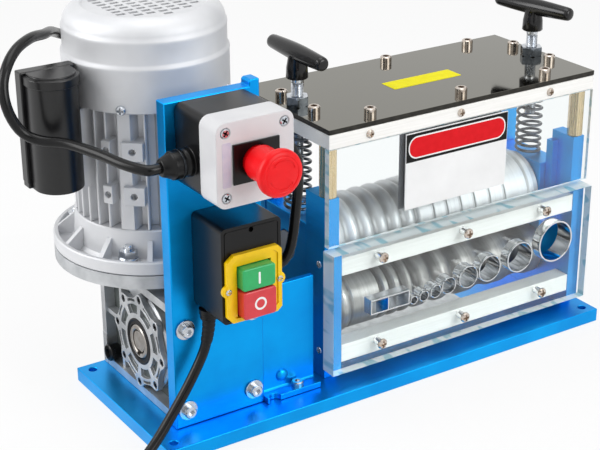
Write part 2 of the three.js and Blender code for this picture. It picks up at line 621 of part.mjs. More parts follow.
// Capacitor box: a deep moulded cup standing on a flat back plate, which is screwed to the motor's side
function capacitorBox() {
  const c = capacitor;
  const right = -fanCover.radius - fit;
  const middle = right - c.wide / 2;
  const back = c.plateY + c.plateThick / 2;
  const front = back - c.plateThick;
  const cup = (radius) => {
    const shape = new THREE.Shape();
    shape.moveTo(middle + radius, front + fit);
    shape.lineTo(middle + radius, front - c.bodyDeep);
    shape.absarc(middle, front - c.bodyDeep, radius, 0, Math.PI, true);
    shape.lineTo(middle - radius, front + fit);
    return shape;
  };
  const lift = (up) => frameLow + up;
  const body = slab('z', cup(c.bodyRadius), [lift(c.bodyLow), lift(c.bodyHigh)], sides.small);
  const lip = slab('z', cup(c.bodyRadius + c.lip), [lift(c.lipLow), lift(c.bodyHigh) + c.lip], sides.small);
  const plate = box([right - c.wide, right], [front, back], [lift(c.plateLow), lift(c.plateHigh)]);
  return mesh('capacitor_box', join(body, lip, plate), look.blackPlastic);
}

function terminalBox() {
  const t = terminal;
  const near = frame.tip + frame.padProud + fit;
  const low = frameLow + t.low;
  const bodyShape = roundedOutline(about(0, t.wide), [low, low + t.high], t.corner);
  const body = slab('y', bodyShape, [near, near + t.deep - t.lid]);
  const lidShape = roundedOutline(
    about(0, t.wide + t.lidProud * 2), [low - t.lidProud, low + t.high + t.lidProud], t.corner,
  );
  const lid = slab('y', lidShape, [near + t.deep - t.lid, near + t.deep]);
  const gland = rod('z', t.glandRadius, [low + t.high - past, low + t.high + t.glandHigh],
    [t.glandX, near + t.deep / 2 - t.lid / 2]);
  return mesh('terminal_box', join(body, lid, gland), look.blackPlastic);
}

// Switch bracket: the tall plate that carries both control boxes
function switchBracket() {
  const half = bracket.wide / 2;
  const plate = join(
    box([-half, half], [bracketFront, bracketBack], [0, bracket.height]),
    box([half - bracket.tabWide, half], [bracketFront, bracketBack],
      [bracket.height - past, bracket.height + bracket.tabHigh]),
  );
  const holes = bracketBoltPlaces().map((at) => (
    rod('y', bracket.shank + fit, [bracketFront - past, bracketBack + past], at, sides.small)
  ));
  return mesh('switch_bracket', cut(plate, holes), look.blue);
}

// Stop box, in a frame whose x and z are zero at the centre of its face and whose y is zero at its back
function stopBase() {
  const s = stopBox;
  const size = about(0, s.baseSize);
  const inner = about(0, s.baseSize - s.wall * 2);
  const hollow = cut(
    slab('y', roundedOutline(size, size, s.corner), [-s.baseDeep, 0]),
    slab('y', roundedOutline(inner, inner, s.corner - s.wall), [-s.baseDeep - past, -s.wall]),
  );
  const at = [-s.glandY, s.glandUp];
  const left = -s.baseSize / 2;
  const glands = [-1, 1].map((side) => {
    const span = (from, to) => [side * from, side * to].sort((a, b) => a - b);
    const long = side < 0 ? s.glandLong : s.wall;
    return join(
      rod('x', s.glandRadius, span(-left - s.wall / 2, -left + long / 2), at),
      rod('x', s.glandNut, span(-left - s.wall / 2, -left + long), at, sides.small),
    );
  });
  return mesh('estop_base', join(hollow, glands), look.blackPlastic);
}

function stopCover() {
  const s = stopBox;
  const back = -s.baseDeep - fit;
  const front = back - s.coverDeep;
  const size = about(0, s.coverSize);
  const inner = about(0, s.coverSize - s.wall * 2);
  const shell = cut(
    slab('y', roundedOutline(size, size, s.coverCorner), [front, back]),
    slab('y', roundedOutline(inner, inner, s.coverCorner - s.wall), [front + s.wall, back + past]),
    rod('y', s.stem + fit * 2, [front - past, front + s.wall + past], [0, 0]),
  );
  const screws = [-1, 1].flatMap((right) => [-1, 1].map((top) => (
    rod('y', s.screwRadius, [front - s.screwHigh, front + s.wall / 2],
      [right * s.screwPitch / 2, top * s.screwPitch / 2], sides.small)
  )));
  return mesh('estop_cover', join(shell, screws), look.white);
}

function stopBezel() {
  const s = stopBox;
  const back = -s.baseDeep - s.coverDeep - fit * 2;
  const plate = slab('y', outline([
    [-s.bezelWide / 2, -s.bezelHigh / 2], [s.bezelWide / 2, -s.bezelHigh / 2],
    [s.bezelWide / 2, s.bezelHigh / 2], [-s.bezelWide / 2, s.bezelHigh / 2],
  ]), [back - s.bezelThick, back]);
  const hole = rod('y', s.stem + fit * 2, [back - s.bezelThick - past, back + past], [0, 0]);
  return mesh('estop_bezel', cut(plate, hole), look.blackPlastic);
}

function stopButton() {
  const s = stopBox;
  const bezelFace = s.baseDeep + s.coverDeep + fit * 2 + s.bezelThick;
  const neckLow = bezelFace + s.travel + fit;
  const headLow = neckLow + s.neckLong;
  const top = headLow + s.headLong;
  const profile = [
    [0, neckLow - s.stemLong], [s.stem, neckLow - s.stemLong], [s.stem, neckLow], [s.neck, neckLow],
    [s.neck, headLow], [s.head - s.headRim, headLow], [s.head, headLow + s.headRim],
    [s.head, top - s.headRim], [s.head - s.headRim, top - fit], [0, top],
  ].map(([radius, out]) => [radius, -out]);
  return mesh('estop_button', turned('y', profile, [0, 0], sides.large), look.red);
}

// Switch box, in a frame whose x is zero on its middle, z at its underside and y at its back
function switchBase() {
  const s = switchBox;
  const front = -s.deep;
  const shell = slab('y', roundedOutline(about(0, s.wide), [0, s.high], s.corner), [front, 0]);
  const window = windowSize();
  const cavity = box(window.x, [front - past, front + s.cavityDeep], window.z);
  const ears = earPlaces().map((at) => (
    rod('y', s.earRadius / 2 + fit, [front - past, front + s.wall * 2], at, sides.tiny)
  ));
  const pinHole = rod('y', s.pinHole, [front - past, front + s.wall],
    [0, s.high - s.pinHoleDrop], sides.small);
  const glandPlace = [s.glandX, -s.glandY];
  const gland = join(
    rod('z', s.glandRadius, [-s.glandLong / 2, past], glandPlace, sides.small),
    rod('z', s.glandRadius - fit * 3, [-s.glandLong, past], glandPlace, sides.small),
  );
  return mesh('switch_base', join(cut(shell, cavity, ears, pinHole), gland), look.blackPlastic);
}

function windowSize() {
  const s = switchBox;
  const low = s.frameLow + s.frameRim / 2;
  const high = low + s.redHigh + s.greenHigh + s.buttonGap * 3;
  return { x: about(0, s.buttonWide + s.buttonGap * 2), z: [low, high] };
}

function earPlaces() {
  const s = switchBox;
  return [-1, 1].map((side) => [side * s.earOut * 0.88, s.frameLow + s.earUp]);
}

function switchFrame() {
  const s = switchBox;
  const back = -s.deep - fit;
  const window = windowSize();
  const rim = roundedOutline(
    about(0, s.frameWide - s.wall), [s.frameLow, s.frameLow + s.frameHigh], s.corner,
  );
  const ring = cut(
    slab('y', rim, [back - s.frameThick, back]),
    box(window.x, [back - s.frameThick - past, back + past], window.z),
  );
  const ears = earPlaces().map((at) => join(
    rod('y', s.earRadius, [back - s.frameThick - fit, back], at, sides.medium),
    rod('y', s.earRadius / 2, [back - s.frameThick - fit * 5, -s.deep + s.wall], at, sides.tiny),
  ));
  return mesh('switch_frame', join(ring, ears), look.yellow);
}

function pushButton(name, low, high, proud, material) {
  const s = switchBox;
  const front = -s.deep - s.frameThick - proud;
  const shape = roundedOutline(about(0, s.buttonWide), [low, high], s.buttonCorner);
  return mesh(name, slab('y', shape, [front, -s.deep + s.buttonInside], 2), material);
}

function pushButtons() {
  const s = switchBox;
  const redLow = windowSize().z[0] + s.buttonGap;
  const greenLow = redLow + s.redHigh + s.buttonGap;
  return [
    pushButton('stop_button', redLow, redLow + s.redHigh, s.redProud, look.red),
    pushButton('start_button', greenLow, greenLow + s.greenHigh, s.buttonProud, look.green),
  ];
}

// Angle guard: an upright face with a foot that is bolted to the base
function couplingBracket() {
  const a = angle;
  const back = angleFace + a.thick;
  const xs = [a.left, a.right];
  const sheet = join(
    box(xs, [angleFace, back], [deck, deck + a.height]),
    box(xs, [angleFace - a.foot, back], [deck, deck + a.thick]),
  );
  const notchPlace = [a.notchX, angleFace - a.foot];
  const notch = rod('z', a.notch, [deck - past, deck + a.thick + past], notchPlace, sides.small);
  const seat = deck + a.thick - fit;
  const bolt = capScrewPiece('z', angleBoltPlace(), seat, base.thick / 3, a);
  return mesh('coupling_bracket', join(cut(sheet, notch), bolt), look.blue);
}

// Roller box, in a frame whose x is zero at its middle, y on the line of the rollers and z at the deck
function sidePlatePiece(name, side) {
  const p = sidePlate;
  const span = (from, to) => [side * from, side * to].sort((a, b) => a - b);
  const wall = span(innerHalf, outerHalf);
  const slotLow = blockLow - fit;
  const plate = cut(
    box(wall, [-p.front, p.back], [0, p.height]),
    box(span(innerHalf - past, outerHalf + past), [-p.slotFront, p.slotBack], [slotLow, p.height + past]),
    rod('x', lower.journal + fit * 2, span(innerHalf - past, outerHalf + past), [0, lower.axisUp]),
  );
  const guides = [-1, 1].map((face) => {
    const ys = [face * p.slotFront, face * (p.slotFront + p.guide)].sort((a, b) => a - b);
    return box(span(innerHalf - p.guideThick, innerHalf + past), ys, [slotLow, p.height - p.guideUp]);
  });
  const screwEnds = span(outerHalf - past, outerHalf + p.screwHigh);
  const screws = [guard.upperBarUp, guard.lowerBarUp].map((up) => (
    rod('x', p.screwRadius, screwEnds, [-p.front + guard.bar / 2, up + guard.bar / 2], sides.small)
  ));
  return mesh(name, join(plate, guides, screws), look.blue);
}

// Bearing block that slides in the slot of its side plate and holds the upper roller's journal
function bearingBlock(name, side) {
  const span = (from, to) => [side * from, side * to].sort((a, b) => a - b);
  const outer = outerHalf - block.lap;
  const body = box(span(outer - block.wide, outer), [-sidePlate.slotFront + fit, sidePlate.slotBack - fit],
    [blockLow, blockTop]);
  const boreEnds = span(outer - block.wide - past, outer + past);
  const bore = rod('x', upper.journal + fit * 2, boreEnds, [0, upperAxisUp]);
  return mesh(name, cut(body, bore), look.blue);
}

// Lower roller: three rounded rings at its driven end, then a groove under each round feed
function lowerRoller() {
  const r = lower;
  const left = -innerHalf + r.sideGap;
  const right = innerHalf - r.sideGap;
  const profile = [[0, -outerHalf], [r.journal, -outerHalf], [r.journal, left]];
  for (let ring = 0; ring < r.rings; ring += 1) {
    const start = left + ring * r.ringPitch;
    profile.push(
      [r.flangeRadius - r.ringDip, start], [r.flangeRadius, start + r.ringPitch / 4],
      [r.flangeRadius, start + r.ringPitch * 0.7], [r.flangeRadius - r.ringDip, start + r.ringPitch * 0.95],
    );
  }
  profile.push([r.radius, left + r.rings * r.ringPitch + r.ringDip]);
  grooves().forEach(({ centre, wide }) => {
    profile.push(
      [r.radius, centre - wide / 2], [r.radius - r.grooveDeep, centre], [r.radius, centre + wide / 2],
    );
  });
  profile.push([r.radius, right], [r.journal, right], [r.journal, outerHalf], [0, outerHalf]);
  const cup = ballCup(rightBall.x - rollerBox.x, -1);
  const level = [0, r.axisUp];
  const whole = join(
    turned('x', profile, level, sides.roller),
    rod('x', r.journal, [cup.body[1] - past, -outerHalf + past], level),
    rod('x', drive.cup, cup.body, level),
  );
  return mesh('lower_roller', cut(whole, cup.hollow(r.axisUp)), look.steel);
}

function grooves() {
  return feeds.map(({ along, across }) => ({ centre: -innerHalf + along, wide: across * lower.grooveShare }));
}

// Upper roller: rounded rings, then plain bands between narrow grooves, a collar and an end disc
function upperRoller() {
  const r = upper;
  const left = -innerHalf + r.sideGap;
  const right = innerHalf - r.sideGap - r.discWide - r.collarWide;
  const shaftEnd = outerHalf - block.lap;
  const profile = [[0, -shaftEnd], [r.journal, -shaftEnd], [r.journal, left]];
  for (let ring = 0; ring < r.rings; ring += 1) {
    const start = left + ring * r.ringPitch;
    const edge = (r.ringPitch - r.ringFlat) / 2;
    profile.push(
      [r.radius - r.ringDip, start], [r.radius - r.ringDip / 5, start + edge * 0.6],
      [r.radius, start + r.ringPitch / 2], [r.radius - r.ringDip / 5, start + r.ringPitch - edge * 0.6],
    );
  }
  const bandsFrom = left + r.rings * r.ringPitch;
  profile.push([r.radius - r.ringDip, bandsFrom], [r.radius, bandsFrom + r.ringDip / 2]);
  bandShares.forEach((share) => {
    const centre = bandsFrom + share * (right - bandsFrom);
    profile.push(
      [r.radius, centre - r.bandGroove / 2], [r.radius - r.bandDip, centre - r.bandGroove / 2],
      [r.radius - r.bandDip, centre + r.bandGroove / 2], [r.radius, centre + r.bandGroove / 2],
    );
  });
  profile.push(
    [r.radius, right], [r.collarRadius - r.bandDip, right + fit], [r.collarRadius, right + r.collarWide / 3],
    [r.collarRadius, right + r.collarWide], [r.discRadius, right + r.collarWide],
    [r.discRadius, right + r.collarWide + r.discWide], [r.journal, right + r.collarWide + r.discWide],
    [r.journal, shaftEnd], [0, shaftEnd],
  );
  return mesh('upper_roller', turned('x', profile, [0, upperAxisUp], sides.roller), look.steel);
}

// One unbroken tube along given points, ended by flat fans; its rings keep their first side level with up
function tube(points, radius, count) {
  const rings = points.map((point, index) => {
    const before = points[Math.max(index - 1, 0)];
    const after = points[Math.min(index + 1, points.length - 1)];
    const along = after.clone().sub(before).normalize();
    const across = new THREE.Vector3(0, 0, 1).cross(along).normalize();
    const up = along.clone().cross(across);
    return Array.from({ length: count }, (_, side) => {
      const turn = ((side + 0.5) / count) * Math.PI * 2;
      return point.clone()
        .addScaledVector(across, radius * Math.cos(turn))
        .addScaledVector(up, radius * Math.sin(turn));
    });
  });
  const corners = [...rings.flat(), points[0], points[points.length - 1]];
  const faces = [];
  const last = (rings.length - 1) * count;
  for (let side = 0; side < count; side += 1) {
    const next = (side + 1) % count;
    for (let ring = 0; ring < rings.length - 1; ring += 1) {
      const low = ring * count;
      const high = low + count;
      faces.push(low + side, low + next, high + side, low + next, high + next, high + side);
    }
    faces.push(corners.length - 2, next, side, corners.length - 1, last + side, last + next);
  }
  const geometry = new THREE.BufferGeometry();
  geometry.setAttribute('position', new THREE.Float32BufferAttribute(corners.flatMap((c) => c.toArray()), 3));
  geometry.setIndex(faces);
  return { geometry, rings };
}

// Least distance between points of the tube that lie at least half a loop apart along it
function leastGap(rings, perLoop) {
  let least = Infinity;
  rings.forEach((ring, index) => {
    rings.slice(index + Math.ceil(perLoop / 2)).flat().forEach((other) => {
      ring.forEach((point) => { least = Math.min(least, point.distanceTo(other)); });
    });
  });
  return least;
}

// Compression spring between a bearing block and the top rail
function springPiece(name, side) {
  const s = spring;
  const low = blockTop + s.seatGap + s.wire;
  const high = railLow - s.seatGap - s.wire;
  const perCurl = 8;
  const count = s.curls * perCurl;
  const radius = s.outer - s.wire;
  const points = Array.from({ length: count + 1 }, (_, index) => {
    const share = index / count;
    const turn = index / perCurl * Math.PI * 2;
    return new THREE.Vector3(radius * Math.cos(turn), radius * Math.sin(turn), low + share * (high - low));
  });
  const made = tube(points, s.wire, 5);
  console.log(`${name}: least gap ${leastGap(made.rings, perCurl).toFixed(2)} mm`);
  const piece = mesh(name, made.geometry, look.springSteel);
  piece.position.x = side * handleX;
  return piece;
}

function postPiece(name, sideX, sideY) {
  const at = [sideX * (outerHalf - post.insetX), sideY > 0 ? sidePlate.back - post.insetY
    : -sidePlate.front + post.insetY];
  const body = hexagon('z', post.acrossFlats, [postLow, postLow + post.length], at);
  return mesh(name, body, look.brass);
}

function capScrewPlaces() {
  const ends = [-1, 1].flatMap((sideX) => [-1, 1].map((sideY) => (
    [sideX * (boxHalf - capScrew.endInset), sideY * capScrew.endSpread]
  )));
  const rows = [-1, 1].flatMap((sideY) => rowShares.map((share) => (
    [-boxHalf + share * boxHalf * 2, sideY * (railFront - capScrew.rowInset)]
  )));
  return [...ends, ...rows];
}

// Top rail: a pale frame on the four posts that carries the cap screws
function topRail() {
  const innerX = boxHalf - rail.sideWide;
  const innerY = railFront - rail.frontWide;
  const through = [railLow - past, railTop + past];
  const ring = cut(
    box([-boxHalf, boxHalf], [-railFront, railFront], [railLow, railTop]),
    box([-innerX, innerX], [-innerY, innerY], through),
    [-1, 1].map((side) => rod('z', handle.rod + fit, through, [side * handleX, 0])),
  );
  const screws = capScrewPlaces().map((at) => (
    capScrewPiece('z', at, plateTop + fit, railTop - past, capScrew)
  ));
  return mesh('top_rail', join(ring, screws), look.pale);
}

// Polished top plate with a jam nut over each adjusting rod
function topPlatePiece() {
  const holes = capScrewPlaces().map((at) => (
    rod('z', capScrew.shank + fit, [plateLow - past, plateTop + past], at, sides.tiny)
  ));
  const nuts = [-1, 1].map((side) => (
    hexagon('z', handle.nutFlats, [nutLow - fit, nutLow + handle.nutHigh], [side * handleX, 0])
  ));
  const rods = [-1, 1].map((side) => (
    rod('z', handle.rod + fit, [plateLow - past, nutLow + handle.nutHigh + past], [side * handleX, 0])
  ));
  const plate = box([-boxHalf, boxHalf], [-railFront, railFront], [plateLow, plateTop]);
  return mesh('top_plate', cut(join(plate, nuts), holes, rods), look.mirror);
}

// T handle: adjusting rod, hub and cross bar, made about its own axis and turned as it was left
function tHandle(name, side, degrees) {
  const h = handle;
  const rodLow = blockTop + block.liftStop + fit;
  const hubLow = plateTop + h.hubLow;
  const hubTop = hubLow + h.hubHigh;
  const barZ = hubLow + h.barUp;
  const hub = turned('z', [
    [0, hubLow], [h.hubRadius - h.hubEdge, hubLow], [h.hubRadius, hubLow + h.hubEdge], [h.hubRadius, hubTop],
    [h.barRadius, barZ], [0, barZ],
  ], [0, 0]);
  const bar = turned('x', [
    [0, -h.barHalf], [h.barEnd * 0.7, -h.barHalf], [h.barEnd, -h.barHalf + h.tip],
    [h.barRadius, -h.hubRadius], [h.barRadius, h.hubRadius],
    [h.barEnd, h.barHalf - h.tip], [h.barEnd * 0.7, h.barHalf], [0, h.barHalf],
  ], [0, barZ], sides.small);
  const whole = join(rod('z', h.rod, [rodLow, hubLow + past], [0, 0]), hub, bar);
  const piece = mesh(name, whole, look.blackPlastic);
  piece.position.x = side * handleX;
  piece.rotation.z = THREE.MathUtils.degToRad(degrees);
  return piece;
}

function panelSpan() {
  const back = -sidePlate.front - panel.screwRoom;
  return { ys: [back - panel.thick, back], zs: [guard.high + panel.gap, railLow - fit] };
}

function upperPanel() {
  const { ys, zs } = panelSpan();
  return mesh('upper_panel', box([-boxHalf, boxHalf], ys, zs), look.clear);
}

function signPlate() {
  const { ys, zs } = panelSpan();
  const front = ys[0] - fit;
  const top = zs[1] - sign.drop;
  const low = top - (zs[1] - zs[0]) * sign.highShare;
  const left = -boxHalf + sign.left;
  const plate = box([left, left + sign.wide], [front - sign.thick, front], [low, top]);
  return mesh('sign_plate', plate, look.white);
}

// Lower guard: a thick clear slab bored for the feeds and screwed to two pale bars
function guardFront() {
  return -sidePlate.front - fit - guard.thick;
}

function guardScrewPlaces() {
  return guardScrewShares.flatMap((share) => [guard.upperBarUp, guard.lowerBarUp].map((up) => (
    [-boxHalf + share * boxHalf * 2, up + guard.bar * 0.7]
  )));
}

function feedPlaces() {
  return feeds.map(({ along, across }) => ({
    at: [-innerHalf + along, feed.sill + across / 2], outer: across / 2,
    inner: across / 2 - Math.max(feed.wallLeast, across * feed.wallShare),
  }));
}

function flatFeedSpan() {
  const left = -innerHalf + feed.flatLeft;
  return { left, right: left + feed.flatFirst + feed.flatSecond, low: feed.sill + feed.flatWall * 2 };
}

function lowerGuard() {
  const front = guardFront();
  const ys = [front, front + guard.thick];
  const wide = [ys[0] - past, ys[1] + past];
  const holes = feedPlaces().map(({ at, outer }) => rod('y', outer + fit, wide, at, sides.medium));
  const flats = flatFeedSpan();
  const windowZ = [flats.low - fit, flats.low + feed.flatHigh + fit];
  const window = box([flats.left - fit, flats.right + fit], wide, windowZ);
  const screwHoles = guardScrewPlaces().map((at) => (
    rod('y', guard.screwRadius + fit, wide, at, sides.tiny)
  ));
  const plate = box([-boxHalf, boxHalf], ys, [guard.low, guard.high]);
  return mesh('lower_guard', cut(plate, holes, window, screwHoles), look.clear);
}

function guardBar(name, up) {
  const back = -sidePlate.front + guard.bar;
  const front = guardFront();
  const xs = [-innerHalf + fit, innerHalf - fit];
  const seat = front - fit;
  const screws = guardScrewPlaces().filter(([, z]) => z > up && z < up + guard.bar).map((at) => join(
    rod('y', guard.screwHead, [seat - guard.screwHigh, seat], at, sides.small),
    rod('y', guard.screwRadius, [seat - fit, -sidePlate.front + past], at, sides.tiny),
  ));
  return mesh(name, join(box(xs, [-sidePlate.front, back], [up, up + guard.bar]), screws), look.pale);
}

function feedTube(name, { at, outer, inner }) {
  const front = guardFront() - feed.proud;
  const ends = [front, front + feed.length];
  const wide = [ends[0] - past, ends[1] + past];
  const count = outer > feed.flatHigh / 2 ? sides.medium : sides.small;
  return mesh(name, cut(rod('y', outer, ends, at, count), rod('y', inner, wide, at, count)), look.steel);
}

function flatFeeds() {
  const { left, right, low } = flatFeedSpan();
  const front = guardFront() - feed.proud;
  const ys = [front, front + feed.length];
  const wide = [ys[0] - past, ys[1] + past];
  const zs = [low + feed.flatWall, low + feed.flatHigh - feed.flatWall];
  const middle = left + feed.flatFirst;
  return mesh('flat_feeds', cut(
    box([left, right], ys, [low, low + feed.flatHigh]),
    box([left + feed.flatWall, middle - feed.flatWall / 2], wide, zs),
    box([middle + feed.flatWall / 2, right - feed.flatWall], wide, zs),
  ), look.steel);
}

function scrapTray() {
  const xs = [-innerHalf + tray.left, innerHalf - tray.right];
  const ys = [-tray.front, tray.back];
  return mesh('scrap_tray', join(
    box(xs, ys, [0, tray.thick]),
    box(xs, [ys[1] - tray.thick, ys[1]], [0, tray.lip]),
    box([xs[0], xs[0] + tray.thick], ys, [0, tray.lip]),
  ), look.pale);
}

// Leads along smooth curves through their points
function leadPiece(name, route) {
  const points = route.map((point) => new THREE.Vector3(...point));
  const curve = new THREE.CatmullRomCurve3(points, false, 'centripetal');
  const steps = Math.round(curve.getLength() / lead.stepEvery);
  const shape = outline(ringPlaces(lead.sides, lead.radius, 180 / lead.sides).map(({ at }) => at));
  const geometry = new THREE.ExtrudeGeometry(shape, { steps, extrudePath: curve, bevelEnabled: false });
  console.log(`${name}: ${curve.getLength().toFixed(0)} mm long`);
  return mesh(name, geometry, look.cable);
}

// Coil of the mains lead: it winds in on the floor, climbs a layer at its smallest turn and winds out on top
function coilPoints() {
  const c = coil;
  const total = Math.round(c.turns * c.around);
  const middle = total / 2;
  const climb = c.around / 2;
  const points = [];
  for (let index = 0; index <= total; index += 1) {
    const inward = c.step * (middle - Math.abs(index - middle)) / c.around;
    const rise = THREE.MathUtils.smoothstep(index, middle - climb / 2, middle + climb / 2);
    const turn = THREE.MathUtils.degToRad(c.startTurn) + (index / c.around) * Math.PI * 2;
    const radius = c.outer - inward;
    points.push(new THREE.Vector3(
      c.x + radius * Math.cos(turn), c.y + radius * Math.sin(turn), lead.radius + rise * c.layerStep,
    ));
  }
  return points;
}

function coilEnds(points) {
  const along = (turn) => new THREE.Vector3(-Math.sin(turn), Math.cos(turn), 0);
  const startTurn = THREE.MathUtils.degToRad(coil.startTurn);
  const endTurn = startTurn + coil.turns * Math.PI * 2;
  return {
    start: points[0], startAlong: along(startTurn), end: points[points.length - 1], endAlong: along(endTurn),
  };
}

function mainsCoil() {
  const points = coilPoints();
  const { start, startAlong, end, endAlong } = coilEnds(points);
  const first = start.clone().addScaledVector(startAlong, -lead.radius * 2);
  const last = end.clone().addScaledVector(endAlong, coil.tail);
  const whole = [first, ...points, last];
  const made = tube(whole, lead.radius, coil.sides);
  const length = whole.slice(1).reduce((sum, point, index) => sum + point.distanceTo(whole[index]), 0);
  const gap = leastGap(made.rings, coil.around);
  console.log(`mains_coil: least gap ${gap.toFixed(2)} mm, ${length.toFixed(0)} mm long`);
  return mesh('mains_coil', made.geometry, look.cable);
}

function mainsCord() {
  const { start, startAlong } = coilEnds(coilPoints());
  const meet = start.clone().addScaledVector(startAlong, -lead.radius * 2 - fit);
  const before = meet.clone().addScaledVector(startAlong, -lead.radius * 2);
  return leadPiece('mains_cord', [...mainsRoute, before.toArray(), meet.toArray()]);
}

// Plug with a tapered sleeve, two flat blades and a round earth pin; its sleeve points back along -X
function mainsPlugPiece() {
  const p = mainsPlug;
  const high = (lead.radius + coil.layerStep) * 2;
  const face = p.relief + p.long;
  const body = slab('x', roundedOutline(about(0, p.wide), about(0, high), p.corner), [p.relief, face]);
  const sleeve = rod('x', p.reliefStart, [0, p.relief + past], [0, 0], sides.small, p.reliefEnd);
  const bladeEnds = [face - past, face + p.bladeLong];
  const blades = [-1, 1].map((side) => (
    box(bladeEnds, about(side * p.bladePitch / 2, p.bladeThick), about(0, p.bladeWide))
  ));
  const pin = rod('x', p.pin, [face - past, face + p.pinLong], [0, -p.pinDrop], sides.small);
  const { end, endAlong } = coilEnds(coilPoints());
  const piece = mesh('mains_plug', join(body, sleeve, blades, pin), look.blackPlastic);
  piece.position.copy(end).addScaledVector(endAlong, coil.tail + fit);
  piece.rotation.z = Math.atan2(endAlong.y, endAlong.x);
  return piece;
}

// The whole machine
const machine = new THREE.Group();
machine.name = 'wire_stripping_machine';
machine.add(
  basePlate(),
  group('drive', [gearbox.x, lineY, deck],
    gearboxHousing(),
    gearboxCover('gearbox_cover_left', -1, 8),
    gearboxCover('gearbox_cover_right', 1, 4),
    wormWheelShaft(),
    oilPlug(),
    switchBracket(),
    group('motor', [0, gearbox.wormOffset, 0],
      motorFlange(), motorFrame(), motorRotor(), coolingFan(), fanCoverShell(), capacitorBox(),
      terminalBox())),
  group('stop_box', [stopBox.x, boxBack, deck + stopBox.up],
    stopBase(), stopCover(), stopBezel(), stopButton()),
  group('switch_box', [switchBox.x, boxBack, deck + switchBox.low],
    switchBase(), switchFrame(), pushButtons()),
  couplingBracket(),
  driveShaft(),
  group('roller_box', [rollerBox.x, lineY, deck],
    sidePlatePiece('side_plate_left', -1),
    sidePlatePiece('side_plate_right', 1),
    bearingBlock('bearing_block_left', -1),
    bearingBlock('bearing_block_right', 1),
    lowerRoller(),
    upperRoller(),
    springPiece('spring_left', -1),
    springPiece('spring_right', 1),
    postPiece('post_front_left', -1, -1),
    postPiece('post_front_right', 1, -1),
    postPiece('post_back_right', 1, 1),
    postPiece('post_back_left', -1, 1),
    topRail(),
    topPlatePiece(),
    tHandle('t_handle_left', -1, handle.leftDegrees),
    tHandle('t_handle_right', 1, handle.rightDegrees),
    upperPanel(),
    signPlate(),
    lowerGuard(),
    guardBar('guard_bar_upper', guard.upperBarUp),
    guardBar('guard_bar_lower', guard.lowerBarUp),
    flatFeeds(),
    feedPlaces().map((place, index) => feedTube(`feed_tube_${index + 1}`, place)),
    scrapTray()),
  leadPiece('stop_to_motor_lead', stopToMotor),
  leadPiece('stop_to_switch_lead', stopToSwitch),
  mainsCord(),
  mainsCoil(),
  mainsPlugPiece(),
);

export default machine;
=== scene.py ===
"""Looks of the electric wire stripping machine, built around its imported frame.

Sizes are in millimetres in the machine's own frame: +X runs along the base from the motor to the rollers, +Z
is up, and zero is the middle of the base plate's underside. MM turns them into Blender's metres.
"""

import math

import bmesh
import bpy
import numpy as np
from mathutils import Matrix, Vector


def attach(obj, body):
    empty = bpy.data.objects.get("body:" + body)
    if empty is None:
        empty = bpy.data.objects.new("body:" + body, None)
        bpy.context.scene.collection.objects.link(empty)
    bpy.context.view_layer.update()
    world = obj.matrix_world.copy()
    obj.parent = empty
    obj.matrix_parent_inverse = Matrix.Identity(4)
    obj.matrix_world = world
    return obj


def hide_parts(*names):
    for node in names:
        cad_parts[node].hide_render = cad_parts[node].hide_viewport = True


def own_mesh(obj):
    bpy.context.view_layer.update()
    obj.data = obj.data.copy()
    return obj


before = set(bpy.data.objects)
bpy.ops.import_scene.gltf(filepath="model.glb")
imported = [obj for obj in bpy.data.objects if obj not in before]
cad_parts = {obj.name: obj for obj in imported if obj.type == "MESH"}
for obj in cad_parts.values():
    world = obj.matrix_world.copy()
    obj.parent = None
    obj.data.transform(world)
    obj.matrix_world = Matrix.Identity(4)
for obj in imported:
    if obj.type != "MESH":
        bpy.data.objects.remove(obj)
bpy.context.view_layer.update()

MM = 0.001
METRES = Matrix.Scale(MM, 4)
STILL = "machine_frame"
FRONT, RIGHT = (0, -1, 0), (1, 0, 0)

# Axes, as the two places across them: the worm wheel's and the rollers' lie along X, the motor's along Z
LINE_Y, OUTPUT_Z, LOWER_Z, UPPER_Z = 7, 62, 51, 112
OUTPUT_AXIS, LOWER_AXIS, UPPER_AXIS = (LINE_Y, OUTPUT_Z), (LINE_Y, LOWER_Z), (LINE_Y, UPPER_Z)
GEARBOX_X = -159
MOTOR_AXIS = (-159, 47)

# Heights and faces that several pieces share
DECK = 12.3
FRAME_LOW, FRAME_TOP = 161.3, 262
BRACKET_FACE, BOX_BACK = -55.3, -55.6
STOP_AXIS, GLAND_AXIS, SWITCH_X = (-160, 247.5), (-75.6, 240), -154.5
WINDOW = (120.75, 162)
BOX_WIDE, PLATE_FRONT = (-59.5, 214.5), -51
SLOT_WIDE, SLOT_LOW = (-24, 38), 79.7
RAIL_LOW, RAIL_TOP, PLATE_TOP = 215.6, 227.6, 231.9
RAIL_DEEP = (-59, 73)
HANDLE_XS = (-45.7, 200.7)
GUARD_FRONT, GUARD_BACK, FEED_FRONT, FEED_BACK = -66.3, -51.3, -67.8, -50.8
SILL = 65.8
FEEDS = [(20.5, 3.75), (31, 4.75), (43.4, 5.75), (57, 7.5), (78, 10), (101, 12), (134.6, 14), (175, 19)]


# ---------------------------------------------------------------- nodes
SHADER = "Principled BSDF"
SLOTS = {}


def colour(hex_code):
    """An sRGB hex colour as the linear value that sockets take."""
    shares = [int(hex_code[at : at + 2], 16) / 255 for at in (1, 3, 5)]
    linear = [s / 12.92 if s <= 0.04045 else ((s + 0.055) / 1.055) ** 2.4 for s in shares]
    return (*linear, 1)


def add(tree, kind, inputs=None, output=None, **settings):
    """Adds a node with its settings and links, and gives it or one of its outputs."""
    made = tree.nodes.new(kind)
    for name, value in settings.items():
        setattr(made, name, value)
    for name, value in (inputs or {}).items():
        socket = made.inputs[name]
        if isinstance(value, bpy.types.NodeSocket):
            tree.links.new(value, socket)
        else:
            socket.default_value = value
    return made if output is None else made.outputs[output]


